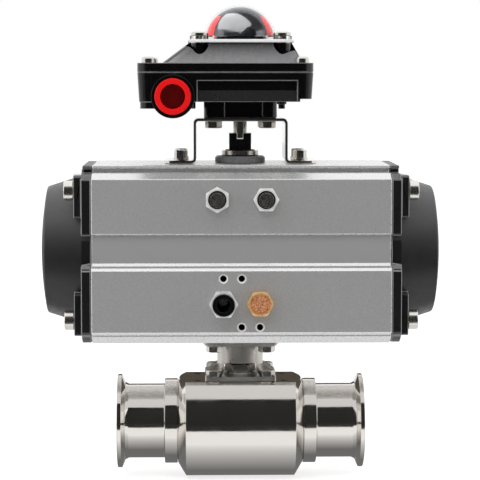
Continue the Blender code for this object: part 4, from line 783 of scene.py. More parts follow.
def spun(corners, axis, paint, sides=ROUND, steps=4, ring=False, centre=(0.0, 0.0)):
    """A solid turned from (along, radius, rounding) corners."""
    profile = [(along, max(0.0, reach)) for along, reach in filleted(corners, steps)]
    return turned(profile, axis, paint, sides, ring, centre)


def combine(target, tool, operation):
    """Joins a tool to the target or cuts it away, and removes the tool. Cut faces keep the tool's paint."""
    modifier = target.modifiers.new(operation.title(), "BOOLEAN")
    modifier.operation = operation
    modifier.object = tool
    modifier.material_mode = "TRANSFER"
    graph = bpy.context.evaluated_depsgraph_get()
    result = bpy.data.meshes.new_from_object(target.evaluated_get(graph))
    target.modifiers.clear()
    target.data = result
    bpy.data.objects.remove(tool)
    smooth(result)
    return target


def join(target, tool):
    """Unions a tool with the target."""
    return combine(target, tool, "UNION")


def cut(target, tool):
    """Cuts a tool from the target."""
    return combine(target, tool, "DIFFERENCE")


def grow(target, outline, low, high, axis="Z"):
    """Joins a prism with the target."""
    return join(target, prism(outline, low, high, axis, target.data.materials[0]))


def pierce(target, outline, low, high, axis="Z", paint=None):
    """Cuts a prism from the target. The cut has the target's own paint unless one is given."""
    return cut(target, prism(outline, low, high, axis, paint or target.data.materials[0]))


def drill(target, places, radius, low, high, axis="Z", paint=None, sides=SMALL):
    """Cuts round holes at these places."""
    paint = paint or target.data.materials[0]
    bm = bmesh.new()
    for place in places:
        rod = prism(circle(radius, sides, *place), low, high, axis, paint)
        bm.from_mesh(rod.data)
        bpy.data.objects.remove(rod)
    return cut(target, solid(bm, paint))


def keep(target, tool):
    """Keeps what the tool holds of the target."""
    return combine(target, tool, "INTERSECT")


def edged(piece, width, segments=2, paint=None):
    """Rounds a piece's sharp edges by this width, in another paint if one is given."""
    modifier = piece.modifiers.new("edges", "BEVEL")
    modifier.width = width
    modifier.use_clamp_overlap = paint is None
    modifier.segments = segments
    modifier.limit_method = "ANGLE"
    modifier.angle_limit = SHARP
    if paint is not None:
        piece.data.materials.append(paint)
        modifier.material = len(piece.data.materials) - 1
    even = piece.modifiers.new("normals", "WEIGHTED_NORMAL")
    even.keep_sharp = True
    return piece


def paint_where(piece, paint, chosen):
    """Gives another paint to the faces that the test chooses by centre and normal."""
    piece.data.materials.append(paint)
    last = len(piece.data.materials) - 1
    for face in piece.data.polygons:
        if face.material_index == 0 and chosen(face.center, face.normal):
            face.material_index = last
    return piece


def dress(piece, slot, *nodes, name="", body="frame"):
    """The piece rides on a body and stands for these nodes; its slot is not used. It is named
    after the first of them, or by its own name."""
    piece.name = f"{nodes[0] if nodes else name}_look"
    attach(piece, body)
    if nodes:
        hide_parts(*nodes)
    return piece


def twin(original, location, turn=0.0):
    """Another object on the same mesh, with the same modifiers, turned about Z."""
    made = original.copy()
    made.location = location
    made.rotation_euler = (0, 0, turn)
    bpy.context.scene.collection.objects.link(made)
    return made


def corners(half_x, half_y):
    """Four places, front left first and then anticlockwise."""
    return [(-half_x, -half_y), (half_x, -half_y), (half_x, half_y), (-half_x, half_y)]


def hex_head(flats, height, axis, paint, corner_up=True, both=False):
    """A hexagon head from 0 to its height, turned down to a chamfer on top, or on both faces."""
    reach = flats / 2 / math.cos(SIXTH) + SINK
    face = flats / 2 * HEX_FACE
    drop = (reach - face) * math.tan(SIXTH)
    lower = [(0, face), (drop, reach)] if both else [(-SINK, reach)]
    profile = [(lower[0][0], 0), *lower, (height - drop, reach), (height, face), (height, 0)]
    head = prism(hexagon(flats, corner_up), 0, height, axis, paint)
    return keep(head, turned(profile, axis, paint))


def move(piece, x=0.0, y=0.0, z=0.0):
    """Shifts a piece's mesh."""
    piece.data.transform(Matrix.Translation((x, y, z)))
    return piece


def spin(piece, turn, axis):
    """Turns a piece's mesh about an axis through the origin."""
    piece.data.transform(Matrix.Rotation(turn, 4, axis))
    return piece


def valve_body():
    """The turned centre of the valve, bored through, with a flat and a stem boss on top."""
    bore = BODY_BORE_RADIUS
    outline = [
        (-BODY_HALF, bore, 0),
        (-BODY_HALF, BODY_NOSE_RADIUS, EDGE_SOFT),
        (-BODY_STRAIGHT_HALF, BODY_RADIUS, EDGE_BLUNT),
        (BODY_STRAIGHT_HALF, BODY_RADIUS, EDGE_BLUNT),
        (BODY_HALF, BODY_NOSE_RADIUS, EDGE_SOFT),
        (BODY_HALF, bore, 0),
    ]
    body = spun(outline, "X", STEEL, FINE, 3, ring=True)
    over = BODY_HALF + PAST
    block = rectangle(-over, over, -BODY_RADIUS - PAST, BODY_RADIUS + PAST)
    pierce(body, block, BODY_FLAT_Z, BODY_RADIUS + PAST)
    grow(body, circle(BOSS_RADIUS), BODY_FLAT_Z - SINK, BOSS_TOP)
    pierce(body, circle(PACKING_RADIUS + GAP), 0, BOSS_TOP + PAST)
    taps = corners(BOLT_SQUARE_HALF, BOLT_SQUARE_HALF)
    tap_floor = BODY_FLAT_Z - M6_DEPTH
    # The tapped holes get a painted shadow inside
    drill(body, taps, M6_RADIUS + GAP, tap_floor, BODY_FLAT_Z + PAST, "Z", HOLE_SHADOW)
    spares = corners(SPARE_HOLE_X, SPARE_HOLE_Y)
    spare_floor = BODY_FLAT_Z - SPARE_HOLE_RADIUS * 2
    # The spare holes get a painted shadow inside
    drill(body, spares, SPARE_HOLE_RADIUS, spare_floor, BODY_FLAT_Z + PAST, "Z", HOLE_SHADOW)
    edged(body, EDGE_PLAIN)
    dress(body, "polished_steel", "valve_body")


def connectors():
    """Both pipe ends: a spigot, a collar, the tube and its clamp ferrule with the gasket groove."""
    tube_bore = TUBE_RADIUS - TUBE_WALL
    collar = BODY_HALF + GAP
    collar_end = collar + COLLAR_LENGTH
    taper = FACE_HALF - FERRULE_RIM
    outline = [
        (SEAT_BACK + GAP, BALL_BORE_RADIUS, 0),
        (SEAT_BACK + GAP, BODY_BORE_RADIUS - GAP, 0),
        (collar, BODY_BORE_RADIUS - GAP, 0),
        (collar, COLLAR_RADIUS, EDGE_WIDE),
        (collar_end, COLLAR_RADIUS, EDGE_BLUNT),
        (collar_end, TUBE_RADIUS, EDGE_BLUNT),
        (taper - FERRULE_TAPER, TUBE_RADIUS, TUBE_FILLET),
        (taper - FERRULE_TAPER / 2, TUBE_RADIUS + FERRULE_SWELL, EDGE_BLUNT),
        (taper, FERRULE_RADIUS, EDGE_SOFT),
        (FACE_HALF, FERRULE_RADIUS, EDGE_WIDE),
        (FACE_HALF, GROOVE_RADIUS + GROOVE_HALF_WIDTH, EDGE_THIN),
        (FACE_HALF - GROOVE_DEPTH, GROOVE_RADIUS, GROOVE_ROUND),
        (FACE_HALF, GROOVE_RADIUS - GROOVE_HALF_WIDTH, EDGE_THIN),
        (FACE_HALF, tube_bore, EDGE_PLAIN),
        (collar_end, tube_bore, 0),
    ]
    right = spun(outline, "X", STEEL, FINE, ring=True)
    left = twin(right, (0, 0, 0), math.pi)
    dress(right, "polished_steel", "right_connector")
    dress(left, "polished_steel", "left_connector")


def ball():
    """The ball at its closed rest, with its bore across the pipe and the stem's slot along it."""
    bm = bmesh.new()
    bmesh.ops.create_uvsphere(bm, u_segments=FINE, v_segments=ROUND, radius=BALL_RADIUS)
    made = solid(bm, STEEL)
    bore = circle(BALL_BORE_RADIUS, FINE)
    pierce(made, bore, -BALL_RADIUS - PAST, BALL_RADIUS + PAST, "Y")
    stem_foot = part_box("stem")[0][2]
    slot_half = TANG_WIDTH / 2 + GAP
    over = BALL_RADIUS + PAST
    slot = rectangle(-over, over, -slot_half, slot_half)
    pierce(made, slot, stem_foot - GAP, over)
    edged(made, EDGE_PLAIN)
    dress(made, "polished_steel", "ball", body="drive_train")


def seats():
    """The seat rings, whose inner faces follow the ball."""
    reach = BALL_RADIUS + GAP
    width = SEAT_LIP_RADIUS - BALL_BORE_RADIUS
    lips = [BALL_BORE_RADIUS + width * step / SEAT_STEPS for step in range(SEAT_STEPS + 1)]
    profile = [(math.sqrt(reach**2 - lip**2), lip) for lip in lips]
    profile += [
        (SEAT_BACK - SEAT_LENGTH, BODY_BORE_RADIUS - GAP),
        (SEAT_BACK, BODY_BORE_RADIUS - GAP),
        (SEAT_BACK, BALL_BORE_RADIUS),
    ]
    right = turned(profile, "X", WHITE, FINE, ring=True)
    left = twin(right, (0, 0, 0), math.pi)
    dress(right, "seat_white", "right_seat")
    dress(left, "seat_white", "left_seat")


def gland_nut():
    """The nut that squeezes the packing, seen in the bracket's window."""
    nut = hex_head(GLAND_NUT_FLATS, GLAND_NUT_HEIGHT, "Z", BOLT, False, both=True)
    move(nut, z=PACKING_TOP + GAP)
    hole = circle(STEM_RADIUS + GAP)
    pierce(nut, hole, PACKING_TOP - PAST, BODY_FLAT_Z + GLAND_NUT_FLATS)
    edged(nut, EDGE_THIN)
    dress(nut, "bolt_steel", "gland_nut", body="drive_train")


def valve_bracket():
    """The cast bracket: a base flange that rises to a windowed neck, and a top plate."""
    half_x = FLANGE_HALF_X
    half_y = FLANGE_HALF_Y
    plan = [
        (-half_x, -half_y),
        (half_x, -half_y),
        (half_x, half_y - FLANGE_CHAMFER),
        (half_x - FLANGE_CHAMFER, half_y),
        (-half_x + FLANGE_CHAMFER, half_y),
        (-half_x, half_y - FLANGE_CHAMFER),
    ]
    foot = filleted([(x, y, FLANGE_CORNER) for x, y in plan])
    head = scaled(foot, FLANGE_TOP_HALF_X / FLANGE_HALF_X, NECK_RADIUS / FLANGE_HALF_Y)
    levels = [(FLANGE_BOTTOM, foot), (FLANGE_TOP, foot), (FLANGE_TOP + FLANGE_RISE, head)]
    bracket = lofted(levels, "Z", CAST)
    neck = circle(NECK_RADIUS, FINE)
    grow(bracket, neck, FLANGE_BOTTOM + SINK, TOP_PLATE_TOP - SINK)
    half = TOP_PLATE_HALF
    plate = rectangle(-half, half, -half, half, TOP_PLATE_CORNER)
    levels = [
        (TOP_PLATE_BOTTOM, scaled(plate, (half - TOP_PLATE_CHAMFER) / half)),
        (TOP_PLATE_BOTTOM + TOP_PLATE_CHAMFER, plate),
        (TOP_PLATE_TOP, plate),
    ]
    join(bracket, lofted(levels, "Z", CAST))
    inside = [
        (FLANGE_BOTTOM - PAST, BOSS_RADIUS + GAP),
        (FLANGE_TOP - SINK, BOSS_RADIUS + GAP),
        (FLANGE_TOP - SINK, NECK_RADIUS - NECK_WALL),
        (TOP_PLATE_TOP + PAST, NECK_RADIUS - NECK_WALL),
    ]
    cut(bracket, turned(inside, "Z", CAST, FINE))
    window_low = FLANGE_TOP - SINK
    ends = (window_low, window_low + WINDOW_HEIGHT)
    window = rectangle(-WINDOW_HALF, WINDOW_HALF, *ends, WINDOW_CORNER)
    over = FLANGE_HALF_Y + PAST
    pierce(bracket, window, -over, over, "Y")
    places = corners(BOLT_SQUARE_HALF, BOLT_SQUARE_HALF)
    pocket = M6_FLATS / 2 / math.cos(SIXTH) + 2 * GAP
    pocket_top = FLANGE_TOP + FLANGE_RISE + PAST
    drill(bracket, places, pocket, FLANGE_TOP - SINK, pocket_top, sides=ROUND)
    hole = M6_RADIUS + GAP
    drill(bracket, places, hole, FLANGE_BOTTOM - PAST, FLANGE_TOP + PAST)
    plate_low = TOP_PLATE_BOTTOM - PAST
    drill(bracket, places, hole, plate_low, TOP_PLATE_TOP + PAST)
    edged(bracket, EDGE_WIDE, WIDE_STEPS)
    dress(bracket, "polished_steel", "valve_bracket")


def hex_bolt(radius, flats, head, length, paint, washer=0.0, washer_radius=0.0):
    """A bolt whose shank runs down from 0, with its head, and its washer if it has one, above."""
    bolt = hex_head(flats, head, "Z", paint)
    move(bolt, z=washer)
    if washer:
        grow(bolt, circle(washer_radius), 0, washer + HAIR)
    grow(bolt, circle(radius, SMALL), -length, SINK)
    return edged(bolt, EDGE_BOLT)


def four(bolt, node, places, z, slot):
    """Puts four twins of the bolt at four places, each tightened to its own angle."""
    for number, place in enumerate(places, 1):
        turn = SIXTH + BOLT_TURN * (number - 2)
        made = twin(bolt, (*place, z), turn)
        dress(made, slot, f"{node}_{number}")
    bpy.data.objects.remove(bolt)


def valve_bolts():
    """The bracket's screws into the valve, and the bolts that hold the actuator from below."""
    places = corners(BOLT_SQUARE_HALF, BOLT_SQUARE_HALF)
    length = FLANGE_THICK - SINK + M6_DEPTH - GAP
    screw = hex_bolt(M6_RADIUS, M6_FLATS, M6_HEAD, length, BOLT)
    four(screw, "bracket_screw", places, FLANGE_TOP - SINK + GAP, "bolt_steel")
    length = TOP_PLATE_THICK + 2 * GAP + M6_DEPTH
    bolt = spin(hex_bolt(M6_RADIUS, M6_FLATS, M6_HEAD, length, BOLT), math.pi, "X")
    four(bolt, "actuator_bolt", places, TOP_PLATE_BOTTOM - GAP, "bolt_steel")


def housing_outline(inset=0.0):
    """The extrusion's section as (y, z), the same at the front and the back."""
    top = ACTUATOR_TOP
    bottom = ACTUATOR_BOTTOM
    shoulder = top - SHOULDER_DROP - inset
    waist = RAIL_HALF - RAIL_GROOVE
    back = [
        (RAIL_HALF, top - inset, EDGE_ROUND),
        (RAIL_HALF, top - RAIL_HEIGHT, 0),
        (waist, top - RAIL_HEIGHT - RAIL_UNDERCUT, 0),
        (waist, shoulder, 0),
        (UPPER_PAD_HALF - SHOULDER_SLOPE, shoulder, EDGE_ROUND),
        (UPPER_PAD_HALF, top - UPPER_PAD_DROP - inset, EDGE_ROUND),
        (UPPER_PAD_HALF, bottom + BAND_TOP, BAND_STEP),
        (BAND_HALF, bottom + BAND_TOP - BAND_STEP, 0),
        (BAND_HALF, bottom + BAND_BOTTOM, 0),
        (BAND_HALF + LEDGE_CHAMFER, bottom + LEDGE_STEP_TOP, 0),
        (LEDGE_STEP_HALF, bottom + LEDGE_STEP_TOP, 0),
        (LEDGE_STEP_HALF, bottom + LEDGE_STEP_BOTTOM, 0),
        (LOWER_PAD_HALF - LEDGE_CHAMFER, bottom + LEDGE_STEP_BOTTOM, 0),
        (LOWER_PAD_HALF, bottom + LOWER_PAD_TOP, 0),
        (LOWER_PAD_HALF, bottom + LOWER_PAD_BOTTOM, EDGE_ROUND),
        (SKIRT_STEP_HALF, bottom + SKIRT_STEP_TOP, 0),
        (SKIRT_STEP_HALF, bottom + SKIRT_STEP_BOTTOM, 0),
        (BAND_HALF, bottom + SKIRT_HEIGHT, EDGE_ROUND),
        (BAND_HALF - SKIRT_IN, bottom + inset, EDGE_ROUND),
    ]
    back = [(y - inset, z, radius) for y, z, radius in back]
    front = [(-y, z, radius) for y, z, radius in reversed(back)]
    return filleted(back + front, ARC)


def pilot_places():
    """The four tapped holes round the ports, as (x, z)."""
    places = ((-PORT_HALF, 1), (0, 1), (0, -1), (PORT_HALF, -1))
    return [(x, PORT_Z + side * PILOT_RISE) for x, side in places]


def cap_screw_places():
    """The end caps' four screws, as (y, z)."""
    return [(y, BORE_Z + z) for y, z in corners(CAP_SCREW_Y, CAP_SCREW_Z)]


def highlight_and_cut_faces(centre, normal):
    """The extrusion's leaning faces, rails and skirt, in painted highlight, and its bright end chamfers."""
    leans = SHINE_LEAN < abs(normal.z)
    chamfer = CHAMFER_LEAN[0] < abs(normal.x) < CHAMFER_LEAN[1]
    rail = centre.z > ACTUATOR_TOP - RAIL_HEIGHT
    skirt = centre.z < ACTUATOR_BOTTOM + LOWER_PAD_BOTTOM
    return leans or chamfer or ((rail or skirt) and abs(normal.y) > 0.5)


def actuator_body():
    """The extruded body, bored for the pistons and drilled for the pinion, ports and screws."""
    chamfer = END_CHAMFER
    ends = housing_outline(chamfer)
    whole = housing_outline()
    levels = [
        (-BODY_END, ends),
        (-BODY_END + chamfer, whole),
        (BODY_END - chamfer, whole),
        (BODY_END, ends),
    ]
    body = lofted(levels, "X", ALUMINIUM)
    # Painted highlight: the leaning faces, rails and skirt are painted bright
    paint_where(body, BRIGHT, highlight_and_cut_faces)
    over = BODY_END + PAST
    pierce(body, circle(CYLINDER_RADIUS, FINE, 0, BORE_Z), -over, over, "X", BRIGHT)
    low_hole = circle(LOWER_HOLE_RADIUS)
    high_hole = circle(UPPER_HOLE_RADIUS)
    pierce(body, low_hole, ACTUATOR_BOTTOM - PAST, BORE_Z, "Z", BRIGHT)
    pierce(body, high_hole, BORE_Z, ACTUATOR_TOP + PAST, "Z", BRIGHT)
    stops = [(-STOP_X, STOP_Z), (STOP_X, STOP_Z)]
    deep = -CYLINDER_RADIUS / 3
    drill(body, stops, STOP_RADIUS + GAP, -LOWER_PAD_HALF, deep, "Y", BRIGHT)
    front = -LOWER_PAD_HALF
    ports = [(-PORT_HALF, PORT_Z), (PORT_HALF, PORT_Z)]
    port_floor = front + PORT_DEPTH
    drill(body, ports, PORT_RADIUS, front - PAST, port_floor, "Y", BRIGHT)
    places = corners(BOLT_SQUARE_HALF, BOLT_SQUARE_HALF)
    tap_top = ACTUATOR_BOTTOM + M6_DEPTH + GAP * 2
    drill(body, places, M6_RADIUS + GAP, ACTUATOR_BOTTOM - PAST, tap_top, "Z", BRIGHT)
    feet = corners(NAMUR_X, NAMUR_Y)
    foot_floor = ACTUATOR_TOP - FOOT_SCREW_DEPTH
    foot_top = ACTUATOR_TOP + PAST
    drill(body, feet, FOOT_SCREW_RADIUS + GAP, foot_floor, foot_top, "Z", BRIGHT)
    hole = CAP_SCREW_RADIUS + GAP
    for start, end in ((-over, -BODY_END + CAP_SCREW_DEPTH), (BODY_END - CAP_SCREW_DEPTH, over)):
        drill(body, cap_screw_places(), hole, start, end, "X", BRIGHT)
    for place in pilot_places():
        mouth = [
            (front - PAST, PILOT_RADIUS + PILOT_CHAMFER + PAST),
            (front + PILOT_CHAMFER, PILOT_RADIUS),
        ]
        cut(body, turned(mouth, "Y", CHAMFER, SMALL, centre=place))
    # The pilot holes get a painted shadow inside
    drill(body, pilot_places(), PILOT_RADIUS, front, port_floor, "Y", HOLE_SHADOW)
    edged(body, EDGE_THIN)
    dress(body, "blasted_aluminium", "actuator_body")


def end_caps():
    """Both end caps: a flange like the body's section, corner bosses and a hollow cone."""
    face = BODY_END + GAP
    flange = face + CAP_FLANGE
    boss = flange + CAP_BOSS
    end = BODY_END + CAP_LENGTH
    # The caps' coat carries a painted sheen, lighter towards the top
    cap = prism(housing_outline(CAP_INSET), face, flange, "X", PAINTED_SHEEN_CAP_COAT)
    band = (BORE_Z - CAP_NOTCH_LOW, BORE_Z + CAP_NOTCH_HIGH)
    for side in (-1, 1):
        deep = side * (BAND_HALF - CAP_NOTCH)
        outer = side * (BAND_HALF + PAST)
        outline = rectangle(min(deep, outer), max(deep, outer), *band)
        pierce(cap, outline, face - PAST, flange + PAST, "X")
    for y, z in corners(CAP_SCREW_Y, CAP_SCREW_Z):
        side = math.copysign(1, y)
        inner = CAP_SCREW_Y - CAP_SCREW_HEAD_RADIUS - CAP_BOSS_MARGIN
        ends = sorted((side * inner, side * (UPPER_PAD_HALF - CAP_INSET - SINK)))
        low = BORE_Z + z - CAP_BOSS_HEIGHT / 2 - math.copysign(CAP_BOSS_SHIFT, z)
        outline = rectangle(*ends, low, low + CAP_BOSS_HEIGHT, CAP_BOSS_MARGIN)
        grow(cap, outline, flange - SINK, boss, "X")
    outline = [
        (face, 0, 0),
        (face, CAP_DOME_RADIUS - SINK, 0),
        (flange, CAP_DOME_RADIUS, 0),
        (end - CAP_CROWN, CAP_EDGE_RADIUS, CROWN_ROUND),
    ]
    for step in range(1, CROWN_STEPS):
        share = 1 - step / CROWN_STEPS
        outline.append((end - CAP_CROWN * share**2, CAP_EDGE_RADIUS * share, 0))
    outline.append((end, 0, 0))
    # The domed face takes the same painted sheen
    join(cap, spun(outline, "X", PAINTED_SHEEN_CAP_COAT, FINE, centre=(0, BORE_Z)))
    hollow = [
        (face - PAST, CAP_EDGE_RADIUS - CAP_WALL + CAP_DRAFT),
        (end - CAP_WALL, CAP_EDGE_RADIUS - CAP_WALL),
    ]
    cut(cap, turned(hollow, "X", PAINTED_SHEEN_CAP_COAT, ROUND, centre=(0, BORE_Z)))
    hole = CAP_SCREW_RADIUS + GAP
    drill(cap, cap_screw_places(), hole, face - PAST, boss + PAST, "X")
    # Painted shade: the caps' flat faces get a darker copy of the coat
    paint_where(cap, CAP_FACE_SHADE, lambda at, way: abs(way.y) > CAP_LEAN)
    # The rounded edges get the painted edge highlight
    edged(cap, EDGE_WIDE, WIDE_STEPS, CAP_EDGE_HIGHLIGHT)
    left = twin(cap, (0, 0, 0), math.pi)
    dress(cap, "black_coating", "right_end_cap")
    dress(left, "black_coating", "left_end_cap")


def end_cap_screws():
    """Four socket screws in each end cap."""
    head = CAP_SCREW_HEAD
    radius = CAP_SCREW_HEAD_RADIUS
    outline = [(0, 0, 0), (0, radius, EDGE_PLAIN), (head, radius, HEAD_ROUND), (head, 0, 0)]
    screw = spun(outline, "X", TURNED)
    length = CAP_FLANGE + CAP_BOSS + CAP_SCREW_DEPTH - 2 * GAP
    grow(screw, circle(CAP_SCREW_RADIUS, SMALL), -length, SINK, "X")
    floor = head - CAP_SCREW_KEY_DEPTH
    # The hexagon socket gets a painted shadow
    pierce(screw, hexagon(CAP_SCREW_KEY), floor, head + PAST, "X", HOLE_SHADOW)
    edged(screw, EDGE_THIN)
    seat_x = BODY_END + CAP_FLANGE + CAP_BOSS + 2 * GAP
    for side, first in ((1, 1), (-1, 5)):
        for number, place in enumerate(cap_screw_places(), first):
            turn = 0.0 if side > 0 else math.pi
            made = twin(screw, (side * seat_x, *place), turn)
            dress(made, "bolt_steel", f"end_cap_screw_{number}")
    bpy.data.objects.remove(screw)


def pinion_rings():
    """The grey thrust ring and the bright retaining ring, open at the front."""
    low = ACTUATOR_TOP + GAP
    high = low + THRUST_RING_HEIGHT
    outline = [
        (low, RING_BORE_RADIUS),
        (low, THRUST_RING_RADIUS),
        (high - THRUST_RING_CHAMFER, THRUST_RING_RADIUS),
        (high, THRUST_RING_RADIUS - THRUST_RING_CHAMFER),
        (high, RING_BORE_RADIUS),
    ]
    thrust = turned(outline, "Z", GREY, FINE, ring=True)
    edged(thrust, EDGE_THIN)
    dress(thrust, "grey_plastic", "thrust_ring")
    low = RETAINING_RING_LOW
    high = low + RETAINING_RING_HEIGHT
    outline = [
        (low, RETAINING_RING_BORE),
        (low, RETAINING_RING_RADIUS),
        (high, RETAINING_RING_RADIUS),
        (high, RETAINING_RING_BORE),
    ]
    ring = turned(outline, "Z", BOLT, FINE, ring=True)
    half = RETAINING_MOUTH_HALF
    mouth = rectangle(-half, half, 0, RETAINING_RING_RADIUS + PAST)
    pierce(ring, mouth, low - PAST, high + PAST)
    edged(ring, EDGE_PLAIN)
    dress(ring, "bolt_steel", "retaining_ring", body="drive_train")


def travel_stops():
    """Two stop screws, each with its lock nut."""
    face = -UPPER_PAD_HALF
    end = face - STOP_NUT_HEIGHT - STOP_END
    profile = [
        (end, STOP_RADIUS - STOP_CHAMFER),
        (end + STOP_CHAMFER, STOP_RADIUS),
        (-STOP_TIP - STOP_CHAMFER, STOP_RADIUS),
        (-STOP_TIP, STOP_RADIUS - STOP_CHAMFER),
    ]
    for number, side in ((1, -1), (2, 1)):
        place = (side * STOP_X, 0, STOP_Z)
        # Painted reflection: the stop screw's end is painted dark
        screw = turned(profile, "Y", STOP_END_REFLECTION)
        edged(screw, EDGE_THIN)
        screw.location = place
        dress(screw, "bolt_steel", f"stop_screw_{number}")
        nut = hex_head(STOP_NUT_FLATS, STOP_NUT_HEIGHT, "Y", ZINC, number == 1, both=True)
        move(spin(nut, math.pi, "Z"), y=face - GAP)
        hole = circle(STOP_RADIUS + GAP)
        pierce(nut, hole, end, face + PAST, "Y")
        nut_face = face - GAP - STOP_NUT_HEIGHT
        mouth = [(nut_face - SINK, STOP_RADIUS + 2 * SINK), (nut_face + SINK, STOP_RADIUS)]
        # The nut's mouth gets a painted shadow
        cut(nut, turned(mouth, "Y", HOLE_SHADOW))
        edged(nut, EDGE_PLAIN)
        nut.location = place
        dress(nut, "bolt_steel", f"stop_nut_{number}")


def air_fitting():
    """The push-in fitting in the left port, and its release collet."""
    face = -LOWER_PAD_HALF - GAP
    place = (-PORT_HALF, face, PORT_Z)
    fitting = hex_head(HEX_FLATS, FITTING_LENGTH, "Y", NICKEL, False)
    spin(fitting, math.pi, "Z")
    thread = circle(PORT_RADIUS - GAP)
    grow(fitting, thread, -SINK, PORT_DEPTH - 2 * GAP, "Y")
    socket = [
        (-FITTING_LENGTH - PAST, COLLET_SLEEVE_RADIUS + GAP),
        (TUBE_SOCKET_DEPTH, COLLET_SLEEVE_RADIUS + GAP),
        (TUBE_SOCKET_DEPTH, AIR_WAY_RADIUS),
        (PORT_DEPTH + PAST, AIR_WAY_RADIUS),
    ]
    # The tube socket gets a painted shadow
    cut(fitting, turned(socket, "Y", HOLE_SHADOW))
    edged(fitting, EDGE_THIN)
    fitting.location = place
    dress(fitting, "nickel", "air_fitting")
    end = -FITTING_LENGTH - COLLET_TRAVEL - GAP
    flange = end - COLLET_FLANGE
    outline = [
        (end, TUBE_SOCKET_RADIUS, 0),
        (flange, TUBE_SOCKET_RADIUS + COLLET_CHAMFER, EDGE_SOFT),
        (flange, COLLET_RADIUS, COLLET_CHAMFER),
        (end, COLLET_RADIUS, EDGE_THIN),
        (end, COLLET_SLEEVE_RADIUS, 0),
        (end + COLLET_LENGTH, COLLET_SLEEVE_RADIUS, 0),
        (end + COLLET_LENGTH, TUBE_SOCKET_RADIUS, 0),
    ]
    collet = spun(outline, "Y", COLLET, ring=True)
    collet.location = place
    dress(collet, "black_coating", "release_collet", body="collet")


def silencer():
    """The exhaust silencer in the right port: a brass hexagon and a sintered disc."""
    place = (PORT_HALF, -LOWER_PAD_HALF - GAP, PORT_Z)
    made = hex_head(SILENCER_FLATS, SILENCER_HEX, "Y", BRASS, False)
    keep(made, prism(circle(SILENCER_ROUND), -PAST, SILENCER_HEX + PAST, "Y", BRASS))
    spin(made, math.pi, "Z")
    thread = circle(PORT_RADIUS - GAP)
    grow(made, thread, -SINK, PORT_DEPTH - 2 * GAP, "Y")
    low = -SILENCER_HEX
    disc = circle(SILENCER_DISC_RADIUS)
    pierce(made, disc, low - PAST, low + SILENCER_DISC, "Y", COPPER)
    edged(made, EDGE_PLAIN)
    made.location = place
    dress(made, "brass", "silencer")


def switch_bracket():
    """The folded bracket: two feet, two legs and a top, from one plate."""
    low = BRACKET_BOTTOM
    high = BRACKET_TOP
    inner = LEG_OUTER_X - PLATE
    outer_bend = BEND_RADIUS - PLATE
    right = [
        (LEG_OUTER_X, high, BEND_RADIUS),
        (LEG_OUTER_X, low + PLATE, outer_bend),
        (FOOT_END_X, low + PLATE, 0),
        (FOOT_END_X, low, 0),
        (inner, low, BEND_RADIUS),
        (inner, high - PLATE, outer_bend),
    ]
    left = [(-x, z, radius) for x, z, radius in reversed(right)]
    half = BRACKET_HALF_Y
    section = filleted(right + left, BEND_STEPS)
    bracket = prism(section, -half, half, "Y", STEEL)
    plan = rectangle(-FOOT_END_X, FOOT_END_X, -half, half, BRACKET_CORNER)
    keep(bracket, prism(plan, low - PAST, high + PAST, "Z", STEEL))
    foot = FOOT_SCREW_RADIUS + GAP
    feet = corners(NAMUR_X, NAMUR_Y)
    drill(bracket, feet, foot, low - PAST, low + PLATE + PAST)
    hole = BOX_SCREW_RADIUS + GAP
    places = corners(BOX_SCREW_X, BOX_SCREW_Y)
    drill(bracket, places, hole, high - PLATE - PAST, high + PAST)
    middle = circle(BRACKET_HOLE_RADIUS)
    pierce(bracket, middle, high - PLATE - PAST, high + PAST)
    edged(bracket, EDGE_PLAIN)
    dress(bracket, "polished_steel", "switch_bracket")


def foot_bolts():
    """Four bolts with washers that hold the bracket's feet on the actuator."""
    bolt = hex_bolt(
        FOOT_SCREW_RADIUS,
        FOOT_SCREW_FLATS,
        FOOT_SCREW_HEAD,
        PLATE + FOOT_SCREW_DEPTH,
        BOLT,
        FOOT_WASHER,
        FOOT_WASHER_RADIUS,
    )
    four(bolt, "foot_bolt", corners(NAMUR_X, NAMUR_Y), BRACKET_BOTTOM + PLATE + GAP, "bolt_steel")


def box_outline(inset, radius=BOX_CORNER):
    """The switch box's plan, drawn in by an inset."""
    half = BOX_HALF_Y - inset
    return rectangle(BOX_LEFT + inset, BOX_RIGHT - inset, -half, half, radius - inset)


